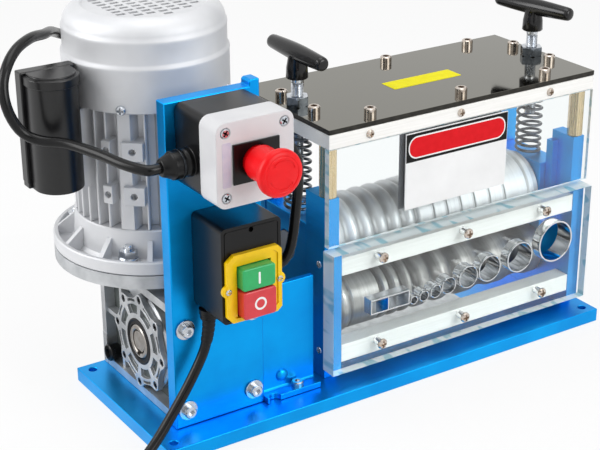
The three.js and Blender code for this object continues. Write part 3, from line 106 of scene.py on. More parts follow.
def mixed(tree, share, first, second, output="Material Output"):
    """Shows the second shader by the share and the first by what is left."""
    both = add(tree, "ShaderNodeMixShader", {"Fac": share, 1: first, 2: second}, "Shader")
    tree.links.new(both, tree.nodes[output].inputs["Surface"])


def finish(name, hex_code, metallic, roughness, **sockets):
    """A named material with one shader."""
    made = bpy.data.materials.new(name)
    made.use_nodes = True
    values = {"Base Color": colour(hex_code), "Metallic": metallic, "Roughness": roughness}
    values.update({label.replace("_", " "): value for label, value in sockets.items()})
    for label, value in values.items():
        made.node_tree.nodes[SHADER].inputs[label].default_value = value
    return made


def pattern(tree, size, stretch=(1, 1, 1), centre=(0, 0, 0), detail=3.0):
    """Noise with cells of a real size, longer along the axes whose stretch is below one."""
    where = add(tree, "ShaderNodeTexCoord", output="Object")
    shift = [-place * MM * share for place, share in zip(centre, stretch)]
    spread = add(tree, "ShaderNodeMapping", {"Vector": where, "Location": shift, "Scale": stretch}, "Vector")
    cells = {"Vector": spread, "Scale": 1 / (size * MM), "Detail": detail}
    return add(tree, "ShaderNodeTexNoise", cells, "Fac")


def shaded_to_groove_floor(tree, shade, level, floor_radius, crest_radius, share):
    """Darkens a turned surface towards the floor of its grooves: painted shade in the grooves."""
    where = add(tree, "ShaderNodeTexCoord", output="Object")
    shift = (0, -LINE_Y * MM, -level * MM)
    flat = {"Vector": where, "Location": shift, "Scale": (0, 1, 1)}
    across = add(tree, "ShaderNodeMapping", flat, "Vector")
    far = add(tree, "ShaderNodeVectorMath", {0: across}, "Value", operation="LENGTH")
    ends = {"From Min": floor_radius * MM, "From Max": crest_radius * MM, "To Min": share, "To Max": 1.0}
    unshaded_share = add(tree, "ShaderNodeMapRange", {"Value": far, **ends}, "Result", interpolation_type="SMOOTHSTEP")
    parts = {"Factor": 1.0, "A": shade, "B": unshaded_share}
    return add(tree, "ShaderNodeMix", parts, "Result", data_type="RGBA", blend_type="MULTIPLY")


def look(name, slot, hex_code, metallic, roughness, tint=None, groove_shade=None, gloss=None, relief=None, **sockets):
    """A finish whose colour drifts between two shades, with its painted groove shade, its drift of gloss and
    its relief.

    Each drift starts with a grain: the size of its cells, or that with their stretch, centre and detail.
    """
    made = finish(name, hex_code, metallic, roughness, **sockets)
    SLOTS[name] = slot
    tree, fields = made.node_tree, {}
    shader = tree.nodes[SHADER].inputs

    def field(grain):
        if grain not in fields:
            fields[grain] = pattern(tree, *(grain if isinstance(grain, tuple) else (grain,)))
        return fields[grain]

    if tint:
        grain, dark, light, low, high = (*tint, 0.3, 0.7)[:5]
        ramp = add(tree, "ShaderNodeValToRGB", {"Fac": field(grain)})
        ends = ramp.color_ramp.elements
        ends[0].position, ends[0].color = low, colour(dark)
        ends[1].position, ends[1].color = high, colour(light)
        shade = ramp.outputs["Color"]
        tree.links.new(shaded_to_groove_floor(tree, shade, *groove_shade) if groove_shade else shade, shader["Base Color"])
    if gloss:
        grain, least, most = gloss
        drift = {"Value": field(grain), "From Min": 0.3, "From Max": 0.7, "To Min": least, "To Max": most}
        tree.links.new(add(tree, "ShaderNodeMapRange", drift, "Result"), shader["Roughness"])
    if relief:
        grain, height, strength = relief
        bump = {"Height": field(grain), "Distance": height * MM, "Strength": strength}
        tree.links.new(add(tree, "ShaderNodeBump", bump, "Normal"), shader["Normal"])
    return made


# ---------------------------------------------------------------- finishes
# Anodised aluminium plate, milled and brushed: a deep clear blue whose gloss runs with the fine brush lines
BRUSHED = (1.2, (0.03, 0.03, 1))
BLUE = look("anodised aluminium blue", "blue_enamel", "#009eec", 0.88, 0.36, (60, "#0092e2", "#00a8f4"),
            gloss=(BRUSHED, 0.32, 0.44), relief=(BRUSHED, 0.02, 0.3))
# Sand-cast aluminium, shot-blasted: a dull light grey with a pebbled skin
CAST = look("cast aluminium", "cast_aluminium", "#bdc0c2", 0.75, 0.46, (18, "#a9acaf", "#ced0d2"),
            relief=(1.4, 0.12, 0.5))
# The sunk faces of the castings, left as cast: a darker copy of the cast aluminium, as painted shade on the
# recess and pocket floors
CAST_SHADE = look("cast aluminium painted shade", "cast_aluminium", "#555b5a", 0.6, 0.58, (14, "#4b5150", "#626866"),
            relief=(1.4, 0.12, 0.6))
# Stoved silver enamel over die-cast aluminium: soft metal flake under an even skin with slight orange peel
SILVER = look("silver enamel", "motor_silver", "#d3d5d8", 0.45, 0.56, (35, "#cdced1", "#d9dadc"),
              relief=(2.2, 0.03, 0.4))
# Hard-chromed steel turned on a lathe: bright, with rings of tool marks round the axis, and painted shade
# that darkens it towards the floor of its grooves
MARKS = (1.5, (1, 0.02, 0.02), (0, *UPPER_AXIS))
ROLLER = look("turned steel", "turned_steel", "#d9dadd", 0.5, 0.4, (MARKS, "#e4e5e7", "#f0f1f2"),
              (UPPER_Z, 30.4, 33.6, 0.5), (MARKS, 0.38, 0.48), (MARKS, 0.02, 0.25))
# The same turned steel as a darker copy, with painted shade all over and more painted shade towards the floor
# of its grooves
LOW_MARKS = (1.5, (1, 0.02, 0.02), (0, *LOWER_AXIS))
ROLLER_LOW_SHADED = look("turned steel painted shade", "turned_steel", "#b4b3b1", 0.8, 0.36,
                  (LOW_MARKS, "#b0aeab", "#cdcbc8"), (LOWER_Z, 22.6, 26, 0.2),
                  (LOW_MARKS, 0.32, 0.42), (LOW_MARKS, 0.02, 0.25))
# Ground shaft steel, oiled and browned by handling
GROUND = look("ground shaft steel", "turned_steel", "#a39f99", 0.85, 0.38, (5, "#958f88", "#b1ada8"),
              gloss=((1.1, (1, 0.05, 0.05)), 0.32, 0.46))
# Bright zinc plating on screws and nuts: cool grey with a faint blue drift
ZINC = look("zinc plated steel", "turned_steel", "#c6cacf", 1, 0.26, (3, "#b9bec6", "#d3d6d9"))
# Nickel plating on the cap screws: a warm bright grey
NICKEL = look("nickel plated steel", "turned_steel", "#c3b7ac", 1, 0.2, (4, "#b3a598", "#d6cdc4"))
# Black oxide on small screws and the gland's ring: dark with a grey shine
OXIDE = look("black oxide steel", "turned_steel", "#2b2d30", 0.9, 0.26, (3, "#212326", "#3b3e42"))
# The sides of the zinc-plated nuts under the handles, painted dark as painted shade: dark with pale
# reflections
NUT_SIDE_SHADE = look("zinc nut sides painted shade", "turned_steel", "#6b7178", 1, 0.22, (4, "#5c6269", "#7f868d"))
# Drawn stainless tube, polished: mirror bright with faint lines along its length
TUBE = look("polished stainless tube", "polished_feed_steel", "#d9dbdd", 1, 0.1,
            gloss=((0.8, (1, 0.05, 1)), 0.06, 0.16))
# Oil-tempered spring wire: dark grey with a wet shine
WIRE = look("oil tempered spring wire", "spring_steel", "#5b5d61", 1, 0.28, (5, "#484a4e", "#73757a"))
# Brass hexagon bar, brushed along its length: pale gold
UPRIGHT = (0.8, (1, 1, 0.03))
BRASS = look("brushed brass", "brass", "#d8bd90", 1, 0.24, (UPRIGHT, "#cdb182", "#e6cfa8"),
             gloss=(UPRIGHT, 0.18, 0.32))
# Clear-anodised aluminium bar, brushed lengthwise: almost white with soft lines
LENGTHWISE = (0.9, (0.02, 1, 1))
PALE = look("clear anodised aluminium", "pale_aluminium", "#f4f3f0", 0.25, 0.4,
            (LENGTHWISE, "#efeeea", "#f8f7f4"), gloss=(LENGTHWISE, 0.3, 0.45))
# Galvanised sheet: a pale grey with a soft spangle
TRAY = look("galvanised sheet", "pale_aluminium", "#c9cccd", 0.8, 0.4,
            ((7, (1, 1, 1), (0, 0, 0), 1.0), "#b9bcbe", "#d8dadb"))
# Polished stainless plate with a smoked tint: it mirrors the screws and handles that stand on it
MIRROR = look("polished stainless plate", "polished_plate", "#716f66", 1, 0.07, gloss=(25, 0.05, 0.1))
# Sheared edge of the plate, blackened
EDGE = look("blackened plate edge", "polished_plate", "#26241f", 0.6, 0.35, (4, "#1c1b18", "#34322c"))
# Cast acrylic sheet, flame polished: clear with a breath of cyan, and the lamps reach what stands behind it
CLEAR = look("clear cast acrylic", "clear_acrylic", "#fafefe", 0, 0.01, Transmission_Weight=1, IOR=1.49)
mixed(
    CLEAR.node_tree,
    add(CLEAR.node_tree, "ShaderNodeLightPath", output="Is Shadow Ray"),
    CLEAR.node_tree.nodes[SHADER].outputs["BSDF"],
    add(CLEAR.node_tree, "ShaderNodeBsdfTransparent", {"Color": colour("#f7fbfb")}, "BSDF"),
)
# Sawn and sanded edge of the acrylic: a frosted white, and the white to cyan glow that it gathers from the
# whole sheet is painted light in its colour
SAWN = look("sawn acrylic edge", "clear_acrylic", "#eef9fb", 0, 0.3,
            ((9, (1, 0.3, 1), (0, 0, 0), 1.0), "#9ed3df", "#f2fbfc", 0.36, 0.46),
            relief=(1.2, 0.03, 0.4), Transmission_Weight=0.15, IOR=1.49)
# Moulded black ABS with a fine spark-eroded grain
BLACK = look("moulded black abs", "black_plastic", "#080809", 0, 0.3, (30, "#060607", "#0d0d0e"),
             relief=(0.7, 0.03, 0.35), Specular_IOR_Level=0.28)
# Glossy moulded black polypropylene of the capacitor housing: broad pale highlights
GLOSSY_BLACK = look("moulded black polypropylene", "black_plastic", "#0a0a0b", 0, 0.3,
                    (30, "#08080a", "#0f0f10"), relief=(0.9, 0.02, 0.3), Specular_IOR_Level=0.5)
# Moulded black phenolic, buffed: long soft highlights
HANDLE = look("moulded black phenolic", "handle_black", "#080809", 0, 0.2, (14, "#09090a", "#121213"),
              relief=(1.5, 0.02, 0.3), Specular_IOR_Level=0.4)
# Moulded white ABS: smooth with a soft shine
WHITE = look("moulded white abs", "white_plastic", "#d4d4d6", 0, 0.32, (40, "#cfcfd2", "#dadadb"),
             relief=(0.9, 0.015, 0.3), Specular_IOR_Level=0.35)
# Moulded red polyamide of the mushroom: strong and slightly glossy
RED = look("moulded red polyamide", "red_plastic", "#ea000c", 0, 0.36, (20, "#e2000a", "#f0020e"),
           relief=(0.8, 0.015, 0.3), Specular_IOR_Level=0.3)
# Moulded yellow polycarbonate: opaque and glossy
YELLOW = look("moulded yellow polycarbonate", "yellow_plastic", "#f0c400", 0, 0.3, (15, "#eabd00", "#f6cc02"),
              relief=(0.9, 0.012, 0.3), Specular_IOR_Level=0.35)
# Green and red push buttons under their clear silicone skin
GREEN_BUTTON = look("moulded green button", "green_plastic", "#00a556", 0, 0.3, (12, "#009c50", "#00b05e"),
                    Coat_Weight=0.4, Coat_Roughness=0.08)
RED_BUTTON = look("moulded red button", "red_plastic", "#d01f2c", 0, 0.3, (12, "#c81826", "#da2c36"),
                  Coat_Weight=0.4, Coat_Roughness=0.08)
# Black PVC sheath, extruded: smooth with a waxy shine
SHEATH = look("black pvc sheath", "black_rubber", "#060607", 0, 0.26, (8, "#070708", "#0f0f10"),
              relief=(2.5, 0.02, 0.3), Specular_IOR_Level=0.28)
# Nitrile rubber of the seals: dead black
RUBBER = look("nitrile rubber", "black_rubber", "#0b0b0c", 0, 0.55, (4, "#08080a", "#111113"),
              relief=(0.8, 0.02, 0.4), Specular_IOR_Level=0.3)
# White print and bare label film: matt
PRINT = look("printed white film", "white_plastic", "#ececec", 0, 0.42, (25, "#e8e8e8", "#f0f0f0"))


def printed(name, slot, hex_code, near_hex):
    """One flat ink of a label, with the slight unevenness of screen printing."""
    return look(name, slot, hex_code, 0, 0.5, (6, hex_code, near_hex), relief=(0.6, 0.006, 0.3),
                Specular_IOR_Level=0.12)


INK_BLACK = printed("printed black ink", "sign_white", "#141414", "#1c1c1c")
INK_RED = printed("printed red ink", "sign_white", "#d3101a", "#dc1620")
# A flat grey that stands behind the panel as the sign's painted shadow.
SIGN_SHADOW_GREY = printed("painted sign shadow grey", "sign_white", "#55565c", "#606168")
INK_YELLOW = printed("printed yellow film", "yellow_plastic", "#eadf00", "#f2e808")
INK_LILAC = printed("printed pale lilac film", "white_plastic", "#c3c0d2", "#cdc8d4")


# ---------------------------------------------------------------- outlines
def around(middle, size):
    return (middle - size / 2, middle + size / 2)


def polar(centre, radius, degrees):
    turn = math.radians(degrees)
    return (centre[0] + radius * math.cos(turn), centre[1] + radius * math.sin(turn))


def arc(centre, radius, first, last, count):
    return [polar(centre, radius, turn) for turn in np.linspace(first, last, count)]


def circle(centre, radius, count, first=0):
    return [polar(centre, radius, first + 360 * step / count) for step in range(count)]


def sector(centre, low, high, first, last, count):
    """Outline of a slice of a ring between two radii."""
    return arc(centre, high, first, last, count) + arc(centre, low, last, first, count)


def rounded(firsts, seconds, corner, steps=6):
    """Outline of a rectangle with round corners."""
    left, right, low, high = firsts[0] + corner, firsts[1] - corner, seconds[0] + corner, seconds[1] - corner
    centres = ((right, low), (right, high), (left, high), (left, low))
    corners = [arc(centre, corner, 90 * at - 90, 90 * at, steps + 1) for at, centre in enumerate(centres)]
    return [point for bow in corners for point in bow]


def stood_off(start, side, profile):
    """A profile whose places run from a plane to one side of it."""
    return [(radius, start + side * along) for radius, along in profile]


# ---------------------------------------------------------------- plain forms in millimetres
def laid(axis, along, first, second):
    """A point from its place along an axis and its two places across it."""
    return {"x": (along, first, second), "y": (first, along, second), "z": (first, second, along)}[axis]


def skin(rings, capped=True, closed=False):
    """Rings of points joined in turn, where a ring of one point is a pole and a closed row makes a ring."""
    form = bmesh.new()
    rings = [[form.verts.new(point) for point in ring] for ring in rings]
    if capped:
        for ring in (rings[0], rings[-1]):
            form.faces.new(ring)
    count = max(len(ring) for ring in rings)
    for low, high in zip(rings, rings[1:] + (rings[:1] if closed else [])):
        for at in range(count):
            after = (at + 1) % count
            pairs = ((low, at), (low, after), (high, after), (high, at))
            corners = list(dict.fromkeys(ring[place % len(ring)] for ring, place in pairs))
            if len(corners) > 2:
                form.faces.new(corners)
    bmesh.ops.recalc_face_normals(form, faces=form.faces[:])
    return form


def prism(axis, outline, ends):
    """A flat outline made solid between two places along an axis."""
    return skin([[laid(axis, end, *point) for point in outline] for end in ends])


def block(xs, ys, zs):
    return prism("z", [(xs[0], ys[0]), (xs[1], ys[0]), (xs[1], ys[1]), (xs[0], ys[1])], zs)


def turned(axis, profile, centre=(0, 0), steps=64, closed=False):
    """A profile of (radius, place along the axis) spun round the axis."""
    rings = [
        [laid(axis, along, *point) for point in (circle(centre, radius, steps) if radius else [centre])]
        for radius, along in profile
    ]
    return skin(rings, False, closed)


def rod(axis, radius, ends, centre=(0, 0), edge=0.0, steps=48):
    """A round bar, with its edges broken where edge isn't zero."""
    low, high = sorted(ends)
    wall = [(radius, low + edge), (radius, high - edge)]
    if edge:
        wall = [(radius - edge, low), *wall, (radius - edge, high)]
    return turned(axis, [(0, low), *wall, (0, high)], centre, steps)


def shown(name, mesh):
    made = bpy.data.objects.new(name, mesh)
    bpy.context.scene.collection.objects.link(made)
    return made


def mesh_of(name, form):
    made = bpy.data.meshes.new(name)
    form.to_mesh(made)
    form.free()
    return made


def evaluated(obj):
    bpy.context.view_layer.update()
    return bpy.data.meshes.new_from_object(obj.evaluated_get(bpy.context.evaluated_depsgraph_get()))


def placed(form, matrix):
    bmesh.ops.transform(form, matrix=matrix, verts=form.verts)
    return form


def shifted(form, *place):
    return placed(form, Matrix.Translation(place))


def facing(form, way):
    """Turns a shape that stands up along +Z to another direction."""
    return placed(form, Vector((0, 0, 1)).rotation_difference(Vector(way)).to_matrix().to_4x4())


def merged(first, *others):
    """Puts separate forms into one mesh."""
    for other in others:
        first.from_mesh(mesh_of("passing", other))
    return first


def changed(operation, form, *tools):
    """Joins closed forms to another, cuts them out of it, or keeps what they share."""
    body, tool = shown("body", mesh_of("body", form)), shown("tool", mesh_of("tool", merged(*tools)))
    change = body.modifiers.new("change", "BOOLEAN")
    change.operation, change.object, change.solver, change.use_self = operation, tool, "EXACT", True
    made = bmesh.new()
    made.from_mesh(evaluated(body))
    bpy.data.objects.remove(body)
    bpy.data.objects.remove(tool)
    return made


def cut(form, *tools):
    return changed("DIFFERENCE", form, *tools)


def fused(form, *tools):
    return changed("UNION", form, *tools)


def piece(name, form, looks, nodes="", body=STILL, slot=None, bevel=0.0, segments=2, smooth=32):
    """Finishes a form as a piece that rides on a body and stands for its nodes."""
    looks = looks if isinstance(looks, list) else [looks]
    mesh = mesh_of(name, placed(form, METRES))
    for one in looks:
        mesh.materials.append(one)
    mesh.shade_smooth()
    made = shown(name, mesh)
    if bevel:
        edges = made.modifiers.new("edges", "BEVEL")
        edges.width, edges.segments, edges.harden_normals = bevel * MM, segments, True
        edges.limit_method, edges.angle_limit = "ANGLE", math.radians(30)
        finished = evaluated(made)
        made.modifiers.clear()
        made.data = finished
    else:
        mesh.set_sharp_from_angle(angle=math.radians(smooth))
    if nodes:
        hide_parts(*nodes.split())
    slot = SLOTS[looks[0].name] if slot is None else slot
    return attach(made, body)


# ---------------------------------------------------------------- trees that repeat a shape
def tree_with(name, **inputs):
    """A Geometry Nodes tree with named inputs."""
    made = bpy.data.node_groups.new(name, "GeometryNodeTree")
    for label, kind in inputs.items():
        made.interface.new_socket(label.replace("_", " "), in_out="INPUT", socket_type="NodeSocket" + kind)
    made.interface.new_socket("Geometry", in_out="OUTPUT", socket_type="NodeSocketGeometry")
    return made, add(made, "NodeGroupInput").outputs


def hand_out(tree, geometry, material):
    """Ends a tree in a plain mesh with its material."""
    real = add(tree, "GeometryNodeRealizeInstances", {"Geometry": geometry}, "Geometry")
    clad = add(tree, "GeometryNodeSetMaterial", {"Geometry": real, "Material": material}, "Geometry")
    add(tree, "NodeGroupOutput", {"Geometry": clad})
    return tree


def tree_of_copies():
    """One copy of a shape at every point of the carrier."""
    made, given = tree_with("copies at points", Points="Geometry", Shape="Object", Material="Material")
    shape = add(made, "GeometryNodeObjectInfo", {"Object": given["Shape"]}, "Geometry")
    parts = {"Points": given["Points"], "Instance": shape}
    copies = add(made, "GeometryNodeInstanceOnPoints", parts, "Instances")
    return hand_out(made, copies, given["Material"])


def tree_of_ring():
    """Copies of a shape turned round an axis through a centre, leaving out the first few of every group."""
    made, given = tree_with(
        "copies round an axis", Shape="Object", Material="Material", Count="Int", Start="Float",
        Axis="Vector", Centre="Vector", Group="Int", Left_Out="Int",
    )
    shape = add(made, "GeometryNodeObjectInfo", {"Object": given["Shape"]}, "Geometry")
    line = {"Count": given["Count"], "Start Location": given["Centre"], "Offset": (0, 0, 0)}
    points = add(made, "GeometryNodeMeshLine", line, "Mesh")
    index = add(made, "GeometryNodeInputIndex", output="Index")
    step = add(made, "ShaderNodeMath", {0: 2 * math.pi, 1: given["Count"]}, 0, operation="DIVIDE")
    turn = add(made, "ShaderNodeMath", {0: index, 1: step, 2: given["Start"]}, 0, operation="MULTIPLY_ADD")
    way = add(made, "FunctionNodeAxisAngleToRotation", {"Axis": given["Axis"], "Angle": turn}, "Rotation")
    place = add(made, "ShaderNodeMath", {0: index, 1: given["Group"]}, 0, operation="MODULO")
    limits = {"A": place, "B": given["Left Out"]}
    kept = add(made, "FunctionNodeCompare", limits, "Result", operation="GREATER_EQUAL")
    parts = {"Points": points, "Selection": kept, "Instance": shape, "Rotation": way}
    copies = add(made, "GeometryNodeInstanceOnPoints", parts, "Instances")
    return hand_out(made, copies, given["Material"])


def tree_of_spring():
    """Round wire wound into a spring whose end turns lie nearly flat."""
    made, given = tree_with(
        "wound spring", Radius="Float", Wire="Float", Height="Float", Turns="Float", End_Share="Float",
        Centre="Vector", Material="Material",
    )
    radius, height = given["Radius"], given["Height"]
    turns = {"Resolution": 32, "Rotations": given["Turns"], "Start Radius": radius, "End Radius": radius}
    helix = add(made, "GeometryNodeCurveSpiral", {**turns, "Height": height}, "Curve")
    share = add(made, "GeometryNodeSplineParameter", output="Factor")
    ends = {"Value": share, "From Min": 0.0, "From Max": 1.0, "To Min": 0.0, "To Max": height}
    eased = add(made, "ShaderNodeMapRange", ends, "Result", interpolation_type="SMOOTHSTEP")
    even = add(made, "ShaderNodeMath", {0: share, 1: height}, 0, operation="MULTIPLY")
    rise = add(made, "ShaderNodeMix", {"Factor": given["End Share"], "A": even, "B": eased}, "Result")
    where = add(made, "GeometryNodeInputPosition", output="Position")
    parts = add(made, "ShaderNodeSeparateXYZ", {"Vector": where}).outputs
    at = add(made, "ShaderNodeCombineXYZ", {"X": parts["X"], "Y": parts["Y"], "Z": rise}, "Vector")
    stood = add(made, "ShaderNodeVectorMath", {0: at, 1: given["Centre"]}, "Vector", operation="ADD")
    wound = add(made, "GeometryNodeSetPosition", {"Geometry": helix, "Position": stood}, "Geometry")
    section = {"Resolution": 12, "Radius": given["Wire"]}
    section = add(made, "GeometryNodeCurvePrimitiveCircle", section, "Curve")
    sweep = {"Curve": wound, "Profile Curve": section, "Fill Caps": True}
    wire = add(made, "GeometryNodeCurveToMesh", sweep, "Mesh")
    smooth = add(made, "GeometryNodeSetShadeSmooth", {"Geometry": wire}, "Geometry")
    return hand_out(made, smooth, given["Material"])


def tree_of_grille():
    """Rows of slots inside a circle."""
    made, given = tree_with(
        "rows of slots", Slot_Size="Vector", Pitch_X="Float", Pitch_Y="Float", Columns="Int", Rows="Int",
        Reach="Float", Centre="Vector", Material="Material",
    )
    spans = []
    for count, pitch in (("Columns", "Pitch X"), ("Rows", "Pitch Y")):
        gaps = add(made, "ShaderNodeMath", {0: given[count], 1: 1.0}, 0, operation="SUBTRACT")
        spans.append(add(made, "ShaderNodeMath", {0: gaps, 1: given[pitch]}, 0, operation="MULTIPLY"))
    cells = {"Size X": spans[0], "Size Y": spans[1]}
    cells.update({"Vertices X": given["Columns"], "Vertices Y": given["Rows"]})
    grid = add(made, "GeometryNodeMeshGrid", cells, "Mesh")
    where = add(made, "GeometryNodeInputPosition", output="Position")
    far = add(made, "ShaderNodeVectorMath", {0: where}, "Value", operation="LENGTH")
    limits = {"A": far, "B": given["Reach"]}
    inside = add(made, "FunctionNodeCompare", limits, "Result", operation="LESS_THAN")
    slot = add(made, "GeometryNodeMeshCube", {"Size": given["Slot Size"]}, "Mesh")
    parts = {"Points": grid, "Selection": inside, "Instance": slot}
    copies = add(made, "GeometryNodeInstanceOnPoints", parts, "Instances")
    shift = {"Geometry": copies, "Translation": given["Centre"]}
    return hand_out(made, add(made, "GeometryNodeTransform", shift, "Geometry"), given["Material"])


COPIES, RING, SPRING, GRILLE = tree_of_copies(), tree_of_ring(), tree_of_spring(), tree_of_grille()


def grown(tree, carrier=None, **inputs):
    """The plain form that a tree makes, in the units of its inputs."""
    holder = shown("carrier", carrier or bpy.data.meshes.new("carrier"))
    change = holder.modifiers.new("grow", "NODES")
    change.node_group = tree
    for item in tree.interface.items_tree:
        label = item.name.replace(" ", "_")
        if item.in_out == "INPUT" and label in inputs:
            change[item.identifier] = inputs[label]
    made = bmesh.new()
    made.from_mesh(evaluated(holder))
    bpy.data.objects.remove(holder)
    return made


def copied(name, shape, places, look_of, **facts):
    """A piece of one shape, made round the origin, at several places."""
    carrier = bpy.data.meshes.new("places")
    carrier.from_pydata([Vector(place) for place in places], [], [])
    master = shown("master", mesh_of("master", shape))
    form = grown(COPIES, carrier, Shape=master, Material=look_of)
    bpy.data.objects.remove(master)
    return piece(name, form, look_of, **facts)


def round_motor(shape, look_of, count, start=0.0, group=1, left_out=0):
    """Copies of one shape turned round the motor's axis."""
    master = shown("master", mesh_of("master", shape))
    made = grown(
        RING, Shape=master, Material=look_of, Count=count, Start=math.radians(start), Axis=(0, 0, 1),
        Centre=(*MOTOR_AXIS, 0), Group=group, Left_Out=left_out,
    )
    bpy.data.objects.remove(master)
    return made


# ---------------------------------------------------------------- camera, floor and lamps
def camera():
    """Stands where the photograph was taken from, by a fit to the machine's corners."""
    yaw, pitch, roll = 0.577322926, 0.406803198, -0.00467272439
    focal, photo_wide, sensor = 1514.66, 600, 36
    place = Vector((-673.968, -960.867, 623.814)) * MM
    ahead = Vector((math.sin(yaw) * math.cos(pitch), math.cos(yaw) * math.cos(pitch), -math.sin(pitch)))
    right = Vector((math.cos(yaw), -math.sin(yaw), 0))
    up = right.cross(ahead)
    level, rise = math.cos(roll) * right + math.sin(roll) * up, math.cos(roll) * up - math.sin(roll) * right
    data = bpy.data.cameras.new("camera")
    data.sensor_width, data.sensor_fit, data.lens = sensor, "HORIZONTAL", focal / photo_wide * sensor
    data.clip_start, data.clip_end = 0.05, 20
    made = shown("camera", data)
    made.matrix_world = Matrix.Translation(place) @ Matrix((level, rise, -ahead)).transposed().to_4x4()
    bpy.context.scene.camera = made


def seen_directly(tree):
    """1 for rays that see the background: from the camera, in a mirror or through glass."""
    path = add(tree, "ShaderNodeLightPath").outputs
    first = {0: path["Is Camera Ray"], 1: path["Is Glossy Ray"]}
    first = add(tree, "ShaderNodeMath", first, 0, operation="MAXIMUM")
    return add(tree, "ShaderNodeMath", {0: first, 1: path["Is Transmission Ray"]}, 0, operation="MAXIMUM")


def aimed(place, target):
    """The place and turn of something at one point, in millimetres, whose -Z looks at another."""
    turn = (Vector(target) - Vector(place)).to_track_quat("-Z", "Y").to_matrix().to_4x4()
    return Matrix.Translation(place) @ turn


def backdrop(name, size, matrix, material):
    """A flat sheet of the stage."""
    form = bmesh.new()
    corners = ((-1, -1), (1, -1), (1, 1), (-1, 1))
    form.faces.new([form.verts.new((x * size[0] / 2, y * size[1] / 2, 0)) for x, y in corners])
    made = shown(name, mesh_of(name, placed(form, METRES @ matrix)))
    made.data.materials.append(material)
    return made


def floor():
    """A plain white floor that keeps a soft shadow."""
    wide, level, glow_share = 8000, -0.3, 0.86
    material = finish("studio floor", "#f4f4f4", 0, 0.7)
    tree = material.node_tree
    glow = add(tree, "ShaderNodeEmission", {"Color": (1, 1, 1, 1), "Strength": 1.0}, "Emission")
    share = add(tree, "ShaderNodeMath", {0: seen_directly(tree), 1: glow_share}, 0, operation="MULTIPLY")
    mixed(tree, share, tree.nodes[SHADER].outputs["BSDF"], glow)
    backdrop("floor", (wide, wide), Matrix.Translation((0, 0, level)), material)


def surroundings():
    """White where it is seen, and an even pale light elsewhere."""
    world = bpy.data.worlds.new("studio")
    bpy.context.scene.world = world
    world.use_nodes = True
    tree = world.node_tree
    light = tree.nodes["Background"]
    light.inputs["Color"].default_value, light.inputs["Strength"].default_value = colour("#f6f7f8"), 0.42
    white = add(tree, "ShaderNodeBackground", {"Color": (1, 1, 1, 1), "Strength": 1.0}, "Background")
    mixed(tree, seen_directly(tree), light.outputs["Background"], white, "World Output")


def lamp(name, place, target, size, power):
    data = bpy.data.lights.new(name, "AREA")
    data.shape, data.size, data.size_y, data.energy = "RECTANGLE", size[0] * MM, size[1] * MM, power
    made = shown(name, data)
    made.location = Vector(place) * MM
    made.rotation_euler = aimed(place, target).to_euler()


def dark_card(name, place, target, size):
    """A dark card that only gloss sees: it gives the metal its dark bands."""
    made = backdrop(name, size, aimed(place, target), finish(name, "#1a1c20", 0, 0.9))
    made.visible_camera = made.visible_diffuse = made.visible_transmission = made.visible_shadow = False


def studio():
    floor()
    surroundings()
    middle = (0, 0, 130)
    lamp("left softbox", (-1500, 500, 900), middle, (900, 1200), 18)
    lamp("front softbox", (500, -1700, 1000), middle, (1100, 1200), 18)
    lamp("top softbox", (100, 0, 1800), middle, (1400, 1000), 10)
    dark_card("camera side card", (-650, -1500, 500), middle, (420, 1400))
    dark_card("far right card", (1500, 350, 500), middle, (500, 1400))
    dark_card("floor card", (-40, 245, 1), (-40, 245, 100), (440, 300))
    bpy.context.scene.view_settings.view_transform = "Standard"


# ---------------------------------------------------------------- leads
LEAD_RADIUS = 4
STOP_TO_MOTOR = [
    (-215.3, -75.6, 240), (-223.3, -75.6, 240), (-233, -62, 241.5), (-243, -36, 244.5), (-256, -10, 247),
    (-269, 3, 247.7), (-279, 9, 253.2), (-286.5, 11, 265.2), (-290, 13, 279.2), (-288.5, 17, 291.2),
    (-282, 23, 301.3), (-270.5, 33, 308.5), (-253, 47, 311), (-234, 66, 306.5), (-219, 88, 301),
    (-205, 108, 293), (-188, 118.5, 284), (-175, 119.5, 276), (-170, 119.3, 267.6), (-170, 119.3, 259.6),
]
STOP_TO_SWITCH = [
    (-125.7, -75.6, 240), (-117.7, -75.6, 240), (-107, -76, 235), (-101, -78, 222), (-101, -79, 205),
    (-103.5, -79.5, 185), (-106, -80, 168), (-110, -80, 152), (-114.5, -78.5, 144),
    (-120.7, -78, 142), (-128.7, -78, 142),
]
MAINS_ROUTE = [
    (-174, -66.7, 107.2), (-174.6, -66.7, 99), (-178.5, -66.5, 82.4), (-190.5, -66.5, 60.4),
    (-206.5, -68.5, 40), (-229, -74, 18.5), (-246, -78, 7.5), (-262, -82, 4.2), (-280, -86, 4.1),
]
COIL_MIDDLE, COIL_OUTER, COIL_STEP, COIL_TURNS, COIL_START, COIL_TAIL = (-300, -150), 56.5, 8.8, 5.5, 108, 26


def smooth_route(points):
    """A centripetal curve through the points, as the source draws it, in short steps."""
    spacing = 5.0
    given = [np.array(point, float) for point in points]
    given = [2 * given[0] - given[1], *given, 2 * given[-1] - given[-2]]
    route = []
    for before, start, end, after in zip(given, given[1:], given[2:], given[3:]):
        pairs = ((before, start), (start, end), (end, after))
        first, middle, last = (max(np.linalg.norm(b - a), 1e-6) ** 0.5 for a, b in pairs)
        rise = (end - start) / middle
        leave = ((start - before) / first - (end - before) / (first + middle) + rise) * middle
        arrive = (rise - (after - start) / (middle + last) + (after - end) / last) * middle
        count = max(2, round(np.linalg.norm(end - start) / spacing))
        for share in np.arange(count) / count:
            square, cube = share**2, share**3
            at_start = (2 * cube - 3 * square + 1) * start + (cube - 2 * square + share) * leave
            route.append(at_start + (3 * square - 2 * cube) * end + (cube - square) * arrive)
    return [*route, given[-2]]


def marks_along(route):
    """How far along a route each of its points lies."""
    return np.cumsum([0.0, *(np.linalg.norm(b - a) for a, b in zip(route, route[1:]))])


